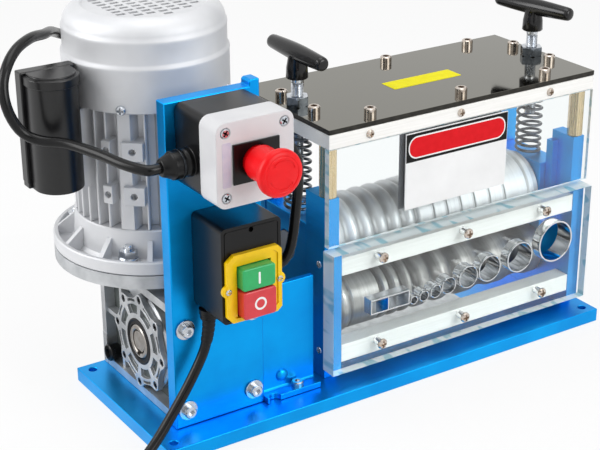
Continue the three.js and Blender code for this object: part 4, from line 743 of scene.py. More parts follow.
def tube(route, radii, sides=16):
    """A round skin along a route whose rings don't twist; radii holds one radius for each point."""
    along = [b - a for a, b in zip(route, route[1:])]
    along = [Vector(step).normalized() for step in [along[0], *along]]
    across = along[0].orthogonal().normalized()
    rings = []
    for at, point in enumerate(route):
        way = along[at] if at in (0, len(route) - 1) else (along[at] + along[at + 1]).normalized()
        across = (across - across.dot(way) * way).normalized()
        other = way.cross(across)
        rings.append([Vector(point) + c * across + s * other for c, s in circle((0, 0), radii[at], sides)])
    return skin(rings)


def coil_route():
    """Winds in on the floor, climbs a layer at its smallest turn and winds out on top."""
    per_turn = 48
    total = COIL_TURNS * per_turn
    route = []
    for index in range(round(total) + 1):
        inward = COIL_STEP * (total / 2 - abs(index - total / 2)) / per_turn
        climb = min(max((index - total / 2) / (per_turn / 2) + 0.5, 0), 1)
        x, y = polar(COIL_MIDDLE, COIL_OUTER - inward, COIL_START + 360 * index / per_turn)
        route.append(np.array([x, y, LEAD_RADIUS + climb * climb * (3 - 2 * climb) * COIL_STEP]))
    return route


def along_turn(degrees):
    return np.array([*polar((0, 0), 1, degrees + 90), 0])


def lead(name, route, nodes, far_end="object", **facts):
    made = piece(name, tube(route, [LEAD_RADIUS] * len(route)), SHEATH, nodes, smooth=60)


def plug_pieces(end, along):
    """Three-pin plug with a ribbed grip and a ribbed sleeve, lying on the floor."""
    half, long, sleeve, high, pitch = 15, 36, 28, 2 * (LEAD_RADIUS + COIL_STEP), 12.7
    face = sleeve + long
    profile = [(0, 0.5), (4.6, 0.5)]
    for rib in range(5):
        swell = 5 + rib * 0.7
        steps = ((swell - 0.7, 0), (swell, 0.8), (swell, 3.2), (swell - 0.7, 4))
        profile += stood_off(1 + rib * 5.2, 1, steps)
    profile += [(8, sleeve + 1), (0, sleeve + 1)]
    side = [(sleeve, 8), (sleeve + 3, 10.5), (sleeve + 9, half - 1.5), (face - 8, half), (face, half - 1)]
    outline = [(x, -y) for x, y in side] + side[::-1]
    ribs = [
        block((x, x + 2.2), around(0, 2 * half - 1.2), around(0, high - 0.2))
        for x in (sleeve + 9 + rib * 4.5 for rib in range(4))
    ]
    grip = merged(turned("x", profile, steps=32), prism("z", outline, around(0, high - 1)), *ribs)
    blades = [block((face - 2, face + 16), around(way * pitch / 2, 1.5), around(0, 6.3)) for way in (-1, 1)]
    pins = merged(*blades, rod("x", 2.4, (face - 2, face + 19), (0, -8), 0.6, 20))
    turn = Matrix.Rotation(math.atan2(along[1], along[0]), 4, "Z")
    turn = Matrix.Translation(Vector(end + along * (COIL_TAIL + 0.3))) @ turn
    return [
        piece("plug_body", placed(grip, turn), BLACK, "mains_plug", bevel=0.9, segments=3),
        piece("plug_pins", placed(pins, turn), BRASS, bevel=0.3),
    ]


def sleeve_piece(route):
    """Tapered ribbed sleeve that guards the mains lead where it leaves the switch box."""
    long, ribs, per_rib = 22, 5, 6
    marks = marks_along(route)
    reach = max(mark for mark in marks if mark <= long)
    points, radii = [], []
    for step in range(ribs * per_rib + 1):
        share = step / (ribs * per_rib)
        points.append(np.array([np.interp(share * reach, marks, places) for places in zip(*route)]))
        rib = 0.2 if step % per_rib in (1, 2, 3, 4) else -0.2
        radii.append(5 - 0.6 * share + rib * (1 - 0.4 * share))
    return piece("mains_sleeve", tube(points, radii, 20), RUBBER, smooth=60)


def leads():
    lead("lead_stop_to_motor", smooth_route(STOP_TO_MOTOR), "stop_to_motor_lead")
    lead("lead_stop_to_switch", smooth_route(STOP_TO_SWITCH), "stop_to_switch_lead")
    coil = coil_route()
    start_along, end_along = along_turn(COIL_START), along_turn(COIL_START + COIL_TURNS * 360)
    meet = coil[0] - start_along * (LEAD_RADIUS * 2 + 0.3)
    before = meet - start_along * LEAD_RADIUS * 2
    tail = [coil[-1] + end_along * COIL_TAIL * share for share in (0.25, 0.5, 0.75, 1)]
    route = [*smooth_route([*MAINS_ROUTE, before, meet]), *coil, *tail]
    on_lead = [*plug_pieces(coil[-1], end_along), sleeve_piece(route)]
    lead("lead_mains", route, "mains_cord mains_coil", far_end="plug", lay="coiled", with_pieces=on_lead)


# ---------------------------------------------------------------- fasteners, each made round the origin
def socket_head(radius, high, key, washer=0.0):
    """A cap screw's head that stands up along +Z, with its hexagon socket and perhaps a washer."""
    thick, sunk = (1.6, 0.5) if washer else (0.0, 0.0)
    low, top = thick - sunk, thick + high
    profile = [(0, low), (radius, low), (radius, top - 0.8), (radius - 0.8, top), (0, top)]
    form = turned("z", profile, steps=32)
    if washer:
        form = merged(rod("z", washer, (0, thick), edge=0.3, steps=40), form)
    return cut(form, prism("z", circle((0, 0), key, 6), (thick + high * 0.45, top + 1)))


def cross_head(radius, high):
    """A pan-head screw along +Z with a cross recess."""
    profile = [(1, 0), (0.96, 0.45), (0.75, 0.85), (0.4, 1)]
    profile = [(0, 0), *((radius * out, high * up) for out, up in profile), (0, high)]
    long, thick = (-radius * 0.66, radius * 0.66), (-radius * 0.19, radius * 0.19)
    slots = block(long, thick, (high * 0.1, high + 1)), block(thick, long, (high * 0.05, high + 1))
    return cut(turned("z", profile, steps=32), *slots)


def hex_nut(flats, high, bore=0.0, edge=0.8):
    """A hexagon nut along +Z with its corners turned off."""
    corner = flats / 2 / math.cos(math.pi / 6)
    bar = prism("z", circle((0, 0), corner, 6), (0, high))
    nut = changed("INTERSECT", bar, rod("z", corner, (0, high), edge=edge))
    return cut(nut, rod("z", bore, (-1, high + 1), steps=32)) if bore else nut


# ---------------------------------------------------------------- base and gearbox
def base():
    holes = [rod("z", 3.5, (-2, 14), (x, y)) for x in (-210, 210) for y in (-70, 70)]
    piece("base", cut(block((-220, 220), (-80, 80), (0, 12)), *holes), BLUE, "base_plate", bevel=0.8)


def paint_sunk_shade(form, sunk):
    """Gives the faces that lie this far from the gearbox's middle plane the darker cast finish: painted shade
    on the recess and pocket floors.
    """
    for face in form.faces:
        reach = abs(face.calc_center_median().x - GEARBOX_X)
        face.material_index = int(abs(face.normal.x) > 0.9 and abs(reach - sunk) < 0.1)
    return form


def gearbox():
    """Cast housing: recessed sides with ribs to a round boss, a neck that flares into the motor flange."""
    x, wall, plug_axis = GEARBOX_X, 26.5, (63, 27)
    wide = around(x, 66)
    hollows = [block((x + low, x + low + 13.5), (-36, 71.5), (19.3, 105)) for low in (-40, wall)]
    body = cut(block(around(x, 71), (-43, 78.5), (DECK, 112)), *hollows)
    ribs = [((45, 49), (13, 111)), ((-42, 77.5), (60, 64)), ((10, 30), (96, 111))]
    body = fused(body, *(block(wide, ys, zs) for ys, zs in ribs), rod("x", 40, wide, OUTPUT_AXIS, 1.5, 64))
    flare = [(0, 104), (50, 104), (52, 112), (54, 117), (60, 120), (80, 120.3), (80, 131), (0, 131)]
    feet = [block(around(x, 71.6), (foot, foot + 7.02), (DECK, 40)) for foot in (-43.01, 71.5)]
    body = fused(body, turned("z", flare, MOTOR_AXIS, 96), *feet)
    body = cut(
        body,
        rod("x", 33, (x - 60, x + 60), OUTPUT_AXIS, steps=64),
        rod("z", 16, (19.3, 140), MOTOR_AXIS),
        *(rod("z", 4.3, (118, 133), place, steps=24) for place in circle(MOTOR_AXIS, 65, 4, 45)),
        rod("x", 7.4, (x - 37, x - 28), plug_axis, steps=32),
    )
    piece("gearbox", paint_sunk_shade(body, wall), [CAST, CAST_SHADE], "gearbox_housing", bevel=0.9)
    cap = [
        (0, 30), (6.8, 30), (6.8, 35.6), (7.2, 35.8), (7.2, 38.6), (6.4, 39.6), (3.8, 39.6), (3.2, 37.4),
        (0, 37.4),
    ]
    piece("oil_plug_cap", turned("x", stood_off(x, -1, cap), plug_axis, 40), BLACK, "oil_plug")


def gearbox_cover(name, side, node):
    """Scalloped cast cover with ribs from its rim to its hub, held by eight screws."""
    lobes, first, screw_circle, floor_at, seat_at = 8, 4, 37.4, 35.2, 35.6
    pitch = 360 / lobes

    def out(*places):
        return sorted(GEARBOX_X + side * place for place in places)

    rim = []
    for turn in np.arange(144) * 2.5:
        wave = (math.cos(lobes * math.radians(turn - first)) + 1) / 2
        rim.append(polar(OUTPUT_AXIS, 36.2 + 6.2 * wave**2.2, turn))
    seats = circle(OUTPUT_AXIS, screw_circle, lobes, first)
    pockets = []
    for lobe, seat in enumerate(seats):
        middle = first + pitch * (lobe + 0.5)
        for low, high, half in ((23.5, 31, 17), (33.4, 35.4, 11)):
            pocket = sector(OUTPUT_AXIS, low, high, middle - half, middle + half, 9)
            pockets.append(prism("x", pocket, out(floor_at, 40)))
        pockets.append(rod("x", 3.1, out(seat_at, 40), seat, steps=24))
    pockets.append(rod("x", 19, out(30, 42), OUTPUT_AXIS))
    body = paint_sunk_shade(cut(prism("x", rim, out(33.3, 38.2)), *pockets), floor_at)
    piece(name, body, [CAST, CAST_SHADE], node, bevel=0.5)
    rings = [(14.6, 34), (19.2, 34), (19.2, 38.6), (18, 39), (17, 38), (15.6, 38), (14.6, 38.6)]
    piece(name + "_seal", turned("x", stood_off(GEARBOX_X, side, rings), OUTPUT_AXIS, closed=True), RUBBER)
    screw = facing(socket_head(2.7, 2.4, 1.5), (side, 0, 0))
    copied(name + "_screws", screw, [(*out(seat_at), *seat) for seat in seats], OXIDE, slot="")


def ball_hollow(middle, opening, side):
    """Profile of a ball socket from its mouth to its floor."""
    radius = 8.9
    turns = np.linspace(math.acos(abs(opening - middle) / radius), math.pi, 10)[:-1]
    wall = [(radius * math.sin(t), middle + side * radius * math.cos(t)) for t in turns]
    return [*wall, (0, middle - side * radius)]


BALL_LEFT, BALL_RIGHT = -107.7, -67


def worm_shaft():
    """Output shaft with its keyway and the shaft end in its bore, the worm wheel and the first ball cup."""
    left, cup, mouth = -198, -119.7, -104.7
    wheel = around(GEARBOX_X, 24)
    profile = [
        (0, left + 1), (8.7, left + 1), (9, left + 4.5), (9.9, left + 4.5), (10.1, left + 0.8), (10.8, left),
        (13.2, left), (14, left + 0.8), (14, wheel[0]), (29.5, wheel[0]), (29.5, wheel[1]), (14, wheel[1]),
        (14, cup), (12, cup), (12, mouth - 0.6), (11.4, mouth), *ball_hollow(BALL_LEFT, mouth, 1),
    ]
    key = block((left - 2, left + 26), around(LINE_Y, 5), (OUTPUT_Z - 12, OUTPUT_Z - 7.6))
    shaft = cut(turned("x", profile, OUTPUT_AXIS), key)
    piece("output_shaft", shaft, GROUND, "worm_wheel_shaft", body="worm_wheel")


def drive_link():
    """Rod with a ball at each end between the two cups."""
    start, end, ball, stem = Vector((BALL_LEFT, *OUTPUT_AXIS)), Vector((BALL_RIGHT, *LOWER_AXIS)), 8, 4
    long = (end - start).length
    turns = np.linspace(math.pi, math.asin(stem / ball), 14)[1:]
    low = [(0, -ball), *((ball * math.sin(t), ball * math.cos(t)) for t in turns)]
    form = turned("x", low + stood_off(long, -1, reversed(low)), steps=32)
    turn = Vector(RIGHT).rotation_difference(end - start).to_matrix().to_4x4()
    form = placed(form, Matrix.Translation(start) @ turn)
    piece("drive_link", form, ZINC, "drive_shaft", body="drive_shaft")


# ---------------------------------------------------------------- motor
def motor_flange():
    """Cast end shield: a pocketed flange, webs that climb to the drum, and four bolts."""
    profile = [
        (8.3, 131.3), (79, 131.3), (80, 132.3), (80, 141), (79, 142), (76.5, 142), (76, 141), (75.4, 135.4),
        (66, 135.2), (63.4, 138), (62, 160), (61, 161), (44, 161), (44, 135.3), (8.3, 135.3),
    ]
    bolt_circle = 65
    web = prism("y", [(60, 134.5), (77, 134.5), (77, 141.6), (63, 153), (60, 153)], around(0, 4))
    boss = rod("z", 9.6, (134, 138.5), (bolt_circle, 0), 0.6, 32)
    body = fused(turned("z", profile, MOTOR_AXIS, 128, True), round_motor(web, SILVER, 12))
    piece("motor_shield", fused(body, round_motor(boss, SILVER, 4, 45)), SILVER, "motor_flange", bevel=0.7)
    washer = rod("z", 8.2, (-1.6, 0.2), edge=0.3, steps=32)
    thread = rod("z", 3.6, (5, 10), edge=0.7, steps=24)
    bolt = shifted(fused(hex_nut(13, 6.4, edge=0.9), washer, thread), bolt_circle, 0, 140.2)
    piece("motor_bolts", round_motor(bolt, ZINC, 4, 45), ZINC)


def motor_body():
    """Die-cast housing: rounded fins between four smooth ribs, lugs with tapped holes, pads for the boxes."""
    root, sunk, tip, tip_radius, rib_half, edge = 50, 48.5, 61, 1.1, 6.2, 1.4
    drum = [(44, FRAME_LOW), (root, FRAME_LOW), (root, FRAME_TOP), (44, FRAME_TOP)]
    cap = arc((tip - tip_radius, 0), tip_radius, 90, -90, 7)
    fin = prism("z", [(sunk, -1.8), (sunk, 1.8), *cap], (FRAME_LOW + 0.2, FRAME_TOP - 0.2))
    outline = [
        (sunk, -7.8), (sunk, 7.8), (tip - edge, rib_half), (tip, rib_half - edge), (tip + 0.1, 0),
        (tip, edge - rib_half), (tip - edge, -rib_half),
    ]
    rib = prism("z", outline, (FRAME_LOW + 0.1, FRAME_TOP - 0.1))
    rib = merged(rib, block((root, 62.2), (-4, 4), (FRAME_TOP - 6, FRAME_TOP)))
    fins, ribs = round_motor(fin, SILVER, 36, 40, group=9, left_out=2), round_motor(rib, SILVER, 4, 45)
    form = merged(turned("z", drum, MOTOR_AXIS, 96, True), fins, ribs)
    piece("motor_fins", form, SILVER, "motor_frame", smooth=40)
    lugs, holes = [], []
    for degrees, wide in ((-148, 8), (-129, 17)):
        turn = Matrix.Translation((*MOTOR_AXIS, 0)) @ Matrix.Rotation(math.radians(degrees), 4, "Z")
        for low in (FRAME_LOW + 21.2, FRAME_LOW + 57.2):
            lugs.append(placed(block((48, 65), around(0, wide), (low, low + 15)), turn))
            holes.append(placed(rod("x", 2.5, (59, 67), (0, low + 7.5), steps=24), turn))
    x, y = MOTOR_AXIS
    lugs.append(block((x - 65, x - 48), around(y - 7, 10), (190, 254)))
    lugs.append(block(around(x, 32), (y + 48, y + 62.2), (201.3, 253.3)))
    piece("motor_lugs", cut(merged(*lugs), *holes), SILVER, bevel=0.8)


def motor_cover():
    """Drawn sheet cover in three steps, its flat top pierced by rows of slots."""
    inner = [
        (0, 323.3), (47.2, 323.3), (52, 323.6), (55.4, 322), (58.4, 319.2), (60.2, 316), (61, 312),
        (61.8, 309), (61.8, 293), (62.8, 289), (63.4, 287), (63.4, 256),
    ]
    outer = [
        (64.3, 256), (65, 256.7), (65, 287.5), (65.3, 289.2), (65.1, 290.6), (63.9, 292), (63.5, 293.5),
        (63.5, 307.5), (63.8, 309.2), (63.5, 310.8), (62.7, 312), (62.4, 314), (61.6, 317.2), (59.6, 320.6),
        (56.4, 323.4), (52.6, 325.2), (49.5, 325.9), (48.2, 326), (47.4, 325.5), (46.8, 324.8), (0, 324.8),
    ]
    slots = grown(
        GRILLE, Slot_Size=(7.4, 4.2, 6), Pitch_X=10.4, Pitch_Y=8.0, Columns=9, Rows=11, Reach=41.0,
        Centre=(*MOTOR_AXIS, 324), Material=SILVER,
    )
    hood = cut(turned("z", inner + outer, MOTOR_AXIS, 128), slots)
    piece("motor_hood", hood, SILVER, "fan_cover", smooth=38)
    screw = shifted(facing(cross_head(4, 3), RIGHT), 64.8, 0, 259)
    piece("hood_screws", round_motor(screw, ZINC, 4, 45), ZINC)


def capacitor():
    """Moulded housing with a round front, a lid with a lip and the back plate on the motor."""
    middle, front, back = -246.3, 28, 45

    def cup(radius, ends):
        bow = arc((middle, front), radius, 0, -180, 25)
        return prism("z", [(middle + radius, back - 9.7), *bow, (middle - radius, back - 9.7)], ends)

    form = merged(
        cup(19, (199, 288)),
        cup(20.3, (280.5, 287.6)),
        cup(18, (287, 289.5)),
        block(around(middle, 44), (back - 10, back), (203, 290)),
        block((middle - 21.5, middle - 15.5), (back - 10, back), (199, 204)),
    )
    piece("capacitor_housing", form, GLOSSY_BLACK, "capacitor_box", bevel=1.0, segments=3)


def terminal_box():
    """Black box on the back of the motor with a screwed lid and a gland for the lead."""
    near = 109.5
    gland = [(0, 251), (8, 251), (8, 255), (7.2, 255.5), (7.2, 258.6), (6.4, 259.3), (0, 259.3)]
    form = merged(
        prism("y", rounded((-191, -127), (201.3, 253.3), 5), (near, near + 21.6)),
        prism("y", rounded((-192.5, -125.5), (199.8, 254.8), 6), (near + 22, near + 28)),
        prism("y", rounded((-189, -129), (203.3, 251.3), 4), (near + 21, near + 22.6)),
        turned("z", gland, (-170, 119.3), 32),
    )
    piece("terminal_housing", form, BLACK, "terminal_box", bevel=0.9)
    places = [(x, near + 27.6, z) for x in (-187, -131) for z in (205.3, 249.3)]
    copied("terminal_screws", facing(cross_head(3, 2), (0, 1, 0)), places, ZINC)


# ---------------------------------------------------------------- bracket and control boxes
def bracket():
    left, right, step, top = -199, -119, -128, 284
    outline = [
        (left, DECK), (right, DECK), (right, top), (step + 1.5, top), (step, top - 1.5), (step, 279),
        (left, 279),
    ]
    piece("tall_bracket", prism("y", outline, (BRACKET_FACE, -43.3)), BLUE, "switch_bracket", bevel=1.0)
    places = [(x, BRACKET_FACE - 0.3, z) for x in (left + 10, right - 10) for z in (27, 97)]
    copied("bracket_screws", facing(socket_head(5, 4.6, 2.7, 8), FRONT), places, ZINC)


def stop_box():
    """Black base with its two glands, the white cover with four screws, the label and the black bezel."""
    x, z = STOP_AXIS
    bore = 11.6

    def shell(wide, corner, ends, steps=6):
        return prism("y", rounded(around(x, wide), around(z, wide), corner, steps), ends)

    long_gland = [
        (0, 0), (10.6, 0), (10.6, 5), (9.4, 6), (9.4, 9), (10.6, 10), (10.6, 16), (9.2, 17.4), (7.4, 22),
        (6.2, 24.6), (0, 24.6),
    ]
    short_gland = [(0, 0), (9, 0), (9, 3.4), (7.6, 4.3), (0, 4.3)]
    glands = [
        turned("x", stood_off(x + side * 30, side, rings), GLAND_AXIS, 40)
        for side, rings in ((-1, long_gland), (1, short_gland))
    ]
    housing = fused(cut(shell(62, 6, (-92.3, BOX_BACK)), shell(56, 3, (-94, -58.6))), *glands)
    piece("stop_housing", housing, BLACK, "estop_base", bevel=0.8)
    ring = [(9.5, -198.6), (11.1, -198.6), (11.1, -200.4), (9.5, -200.4)]
    piece("gland_ring", turned("x", ring, GLAND_AXIS, 40, True), OXIDE, slot="black_plastic", bevel=0.4)

    corners = [(x + right, z + up) for right in (-24, 24) for up in (-24, 24)]
    seats = [rod("y", 3.9, (-118, -114), corner, steps=24) for corner in corners]
    inside = [shell(58, 5, (-112.6, -90)), rod("y", bore, (-118, -110), STOP_AXIS), *seats]
    cover = cut(shell(64, 8, (-115.6, -92.6), 8), *inside)
    piece("stop_cover", cover, WHITE, "estop_cover", bevel=1.6, segments=4)

    def cross(ends):
        return [block((-a, a), (-b, b), ends) for a, b in ((2.4, 0.65), (0.65, 2.4))]

    head = turned("z", [(0, 0), (3.3, 0), (3.3, 1.4), (2.7, 1.9), (0, 1.9)], steps=32)
    tilt = Matrix.Rotation(math.radians(35), 4, "Y")
    # The dark crosses sit inside the cross recess of each screw as painted shade.
    for name, shape, finish_of in (
        ("screws", cut(head, *cross((0.7, 3))), ZINC),
        ("recesses", merged(*cross((0.3, 1.3))), OXIDE),
    ):
        places = [(corner[0], -114.1, corner[1]) for corner in corners]
        copied("stop_cover_" + name, placed(facing(shape, FRONT), tilt), places, finish_of)
    label = prism("y", rounded((x - 27, x - 20), (z - 16, z + 17), 1), (-115.75, -115.5))
    piece("stop_label", label, INK_LILAC)
    bezel = block(around(x, 38), (-117.4, -115.9), around(z, 30))
    bezel = cut(bezel, rod("y", bore, (-119, -114), STOP_AXIS))
    piece("stop_bezel", bezel, BLACK, "estop_bezel", bevel=0.4)


def stop_mushroom():
    """Push-down mushroom: a stepped neck, a round head and the ring with two turning arrows in its face."""
    face, radius, thin, neck, head = -150.7, 17.5, 13, -121.7, -142.7
    profile = [
        (0, -93), (11, -93), (11, neck), (thin - 0.6, neck), (thin, neck - 0.6), (thin, head + 2.5),
        (thin + 0.6, head + 0.5), (radius - 2.2, head), (radius - 0.6, head - 0.7), (radius, head - 2.2),
        (radius, face + 3), (radius - 0.8, face + 1.2), (radius - 2.4, face + 0.2), (radius - 4, face),
        (radius - 4.6, face + 0.4), (radius - 5.2, face + 0.1), (0, face),
    ]
    grooves = []
    for start in (20, 200):
        bow = sector(STOP_AXIS, radius - 7.5, radius - 6.6, start, start + 110, 14)
        tips = ((7, 122), (5.3, 108), (8.8, 108))
        arrow = [polar(STOP_AXIS, radius - inset, start + turn) for inset, turn in tips]
        grooves += [prism("y", bow, (face - 1, face + 0.5)), prism("y", arrow, (face - 1, face + 0.45))]
    form = cut(turned("y", profile, STOP_AXIS, 96), *grooves)
    piece("mushroom", form, RED, "estop_button", body="stop_mushroom", smooth=38)


def switch_box():
    """Black housing with a fine line round its front, and the yellow rim that frames the two buttons."""
    x, lug_z = SWITCH_X, 143.5
    seam = cut(
        prism("y", rounded((-177.6, -131.4), (117.9, 189.6), 3), (-99, -97.7)),
        prism("y", rounded((-176.8, -132.2), (118.7, 188.8), 2.4), (-100, -96)),
    )
    housing = cut(
        prism("y", rounded((-180, -129), (115.5, 192), 4), (-98.3, BOX_BACK)),
        block(around(x, 29.1), (-100, -68.3), WINDOW),
        seam,
        rod("y", 2, (-100, -94), (x, 187), steps=24),
        *(rod("y", 2.8, (-100, -92), (x + off, lug_z), steps=20) for off in (-21.56, 21.56)),
    )
    gland = [(0, 116), (7.5, 116), (7.5, 112), (6.8, 111.4), (6.8, 108), (6.2, 107.5), (0, 107.5)]
    housing = fused(housing, turned("z", gland, (-174, -66.7), 32))
    piece("switch_housing", housing, BLACK, "switch_base", bevel=1.3, segments=3)

    outline = [
        (x - 19, 117.5), (x + 19.5, 117.5), (x + 23.5, 121), (x + 23.5, 168), (x + 20, 171.5),
        (x - 17, 171.5), (x - 23.5, 166.5), (x - 23.5, 122.5),
    ]
    sunk = [(x + (px - x) * 0.86, 144.5 + (pz - 144.5) * 0.87) for px, pz in outline]
    rim = prism("y", outline, (-102.6, -98.6))
    for side in (-1, 1):
        lug = rod("y", 5, (-101.9, -98.6), (x + side * 22, lug_z), 0.4, 32)
        rim = merged(rim, lug, rod("y", 2.5, (-101, -95.5), (x + side * 21.56, lug_z), steps=20))
    rim = cut(rim, block(around(x, 29.1), (-104, -97), WINDOW), prism("y", sunk, (-104, -101.4)))
    piece("switch_rim", rim, YELLOW, "switch_frame", bevel=0.6)
    screw = facing(cross_head(2.6, 1.6), FRONT)
    copied("switch_screws", screw, [(x + off, -101.8, lug_z) for off in (-22, 22)], ZINC)


def push_buttons():
    """The buttons with their marks: a ring for off and a bar for on."""
    for name, node, finish_of, zs, front, body in (
        ("off_button", "stop_button", RED_BUTTON, (121.3, 143.3), -110.3, "stop_push"),
        ("on_button", "start_button", GREEN_BUTTON, (143.85, 161.45), -109.3, "start_push"),
    ):
        form = prism("y", rounded(around(SWITCH_X, 28), zs, 2.5), (front, -84.3))
        piece(name, form, finish_of, node, body=body, bevel=1.2, segments=3)
        middle, proud, sunk = sum(zs) / 2, front - 0.12, front + 0.2
        if name == "on_button":
            mark = prism("y", rounded(around(SWITCH_X, 1.7), around(middle, 9.5), 0.7, 3), (proud, sunk))
        else:
            ring = [(3.5, proud), (5.1, proud), (5.1, sunk), (3.5, sunk)]
            mark = turned("y", ring, (SWITCH_X, middle), 48, True)
        piece(name + "_mark", mark, PRINT, body=body)


def angle_guard():
    """Bent blue plate with its foot, its bolt to the base and the screw that closes it."""
    outline = [(-50, 109.3), (-45, 109.3), (-45, DECK), (-61, DECK), (-61, 17.3), (-51.5, 17.3), (-50, 18.8)]
    plate = cut(prism("x", outline, (-119, -68)), rod("z", 5, (8, 20), (-112, -61), steps=32))
    piece("angle_cover", plate, BLUE, "coupling_bracket", bevel=0.6)
    copied("angle_bolt", socket_head(5, 4.6, 2.6), [(-87.4, -55.5, 17.3)], ZINC)
    dome = [(5.5 * math.cos(t), 3.2 * math.sin(t)) for t in np.linspace(0, math.pi / 2, 9)[:-1]]
    stud = turned("z", [(0, -0.5), (5.5, -0.5), *dome, (0, 3.2)], steps=32)
    copied("angle_stud", facing(stud, FRONT), [(-99, -50, 28)], BLUE, smooth=60)


# ---------------------------------------------------------------- roller box
SHAFT_BORE = 12.6


def side_plates():
    """Slotted plates with the guides of the bearing blocks, their screws, and the bearing on the right."""
    outer = {"left": -58, "right": 213}
    for way, side in (("left", -1), ("right", 1)):
        name, face = "side_" + way, outer[way]
        inner = face - side * 12
        through = (min(inner, face) - 2, max(inner, face) + 2)
        body = cut(
            block(sorted((inner, face)), (PLATE_FRONT, 65), (DECK, 172)),
            block(through, SLOT_WIDE, (SLOT_LOW, 180)),
            rod("x", SHAFT_BORE, through, LOWER_AXIS),
        )
        deep = sorted((inner + side * 2, inner - side * 6))
        guides = [block(deep, ys, (SLOT_LOW, 164)) for ys in ((-32, -23.99), (37.99, 46))]
        piece(name, fused(body, *guides), BLUE, "side_plate_" + way, bevel=0.8)
        screw = facing(cross_head(3.2, 0.9), (side, 0, 0))
        copied(name + "_screws", screw, [(face, -43, z) for z in (112.8, 34.8)], ZINC)
    rings = [
        (12.2, 0.2), (20, 0.2), (20, 1.2), (18.8, 1.6), (17.6, 0.9), (14.4, 0.9), (13.2, 1.6), (12.2, 1.4),
    ]
    piece("lower_bearing", turned("x", stood_off(outer["right"], 1, rings), LOWER_AXIS, 48, True), ZINC)


def bearing_blocks():
    for way, xs in (("left", (-57.5, -33.5)), ("right", (188.5, 212.5))):
        bore = rod("x", SHAFT_BORE, (xs[0] - 2, xs[1] + 2), UPPER_AXIS)
        form = cut(block(xs, (-23.7, 37.7), (80, 142)), bore)
        piece("block_" + way, form, BLUE, "bearing_block_" + way, body="pressure_head", bevel=1.0)


def lower_roller():
    """Three rounded rings at the driven end, then a sharp-edged groove for each round feed."""
    left, right, mouth, top = -44, 199, -70, 25
    profile = [*reversed(ball_hollow(BALL_RIGHT, mouth, -1)), (11.4, mouth), (12, mouth + 0.6), (12, -58)]
    profile += [(12, left), (23.6, left), (24.2, left + 0.6)]
    ring = [(24.4, 0.8), (25.4, 2), (25.9, 3.4), (26, 5.2), (25.9, 7), (25.4, 8.4), (24.4, 9.6), (23.9, 10.3)]
    for step in range(3):
        profile += stood_off(left + step * 11, 1, ring)
    profile += [(24.2, -10.6), (top, -9.6)]
    for centre, radius in FEEDS:
        half = 0.8 * radius
        slope = [(top, half + 0.1), (24.2, half * 0.8), (22.9, half * 0.4)]
        profile += [*stood_off(centre, -1, slope), (22.4, centre), *stood_off(centre, 1, reversed(slope))]
    profile += [(top, right - 0.8), (24.2, right), (12, right), (12, 213), (0, 213)]
    form = turned("x", profile, LOWER_AXIS, 96)
    piece("roller_lower", form, ROLLER_LOW_SHADED, "lower_roller", body="lower_roller", smooth=30)


def upper_roller():
    """Bladed roller: rounded rings, then plain bands between narrow grooves, a collar and an end disc."""
    left, right, ring_step, rings, top = -33, 174, 14.5, 6, 34
    profile = [(0, -57.5), (12, -57.5)]
    profile += stood_off(left, 1, [(12, 0), (32.6, 0), (33.6, 0.5), (top, 1.6), (top, 5.5)])
    climb = [(30.8, 0.6), (31.6, 2.4), (33, 4.4), (33.8, 5.8), (top, 7.2), (33.8, 8.6)]
    fall = [(33, 10), (31.4, 12), (30.7, 13.4)]
    for ring in range(rings):
        profile += stood_off(left + ring * ring_step, 1, climb + fall if ring else fall)
    bands = left + rings * ring_step
    profile += [(31.2, bands), (33.4, bands + 1), (top, bands + 2)]
    groove = [(top, -1.9), (32.2, -1.6), (32.2, 1.6), (top, 1.9)]
    for share in (0.13, 0.25, 0.375, 0.5, 0.64, 0.78):
        profile += stood_off(bands + share * (right - bands), 1, groove)
    end = [(top, -1), (33, 0), (34, 0.6), (35, 1.8), (35, 6), (34, 7), (32, 7), (32, 13.2), (31.2, 14)]
    profile += [*stood_off(right, 1, [*end, (12, 14)]), (12, 212.5), (0, 212.5)]
    form = turned("x", profile, UPPER_AXIS, 128)
    piece("roller_upper", form, ROLLER, "upper_roller", body="upper_roller", smooth=30)


def springs():
    """Springs on the bearing blocks: they ride up with the head."""
    low, high, wire = 142.3, RAIL_LOW - 0.2, 1.3
    for way, x in zip(("left", "right"), HANDLE_XS):
        form = grown(
            SPRING, Radius=10.7, Wire=wire, Height=high - low - 2 * wire, Turns=11.0, End_Share=0.35,
            Centre=(x, LINE_Y, low + wire), Material=WIRE,
        )
        made = piece("coil_spring_" + way, form, WIRE, "spring_" + way, body="pressure_head", smooth=60)
        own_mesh(made)


def posts():
    for name, x, y in (
        ("front_left", -52, -45), ("front_right", 207, -45), ("back_right", 207, 59), ("back_left", -52, 59),
    ):
        form = shifted(hex_nut(12, 43, edge=0.7), x, y, 172.3)
        piece("pillar_" + name, form, BRASS, "post_" + name, bevel=0.25)


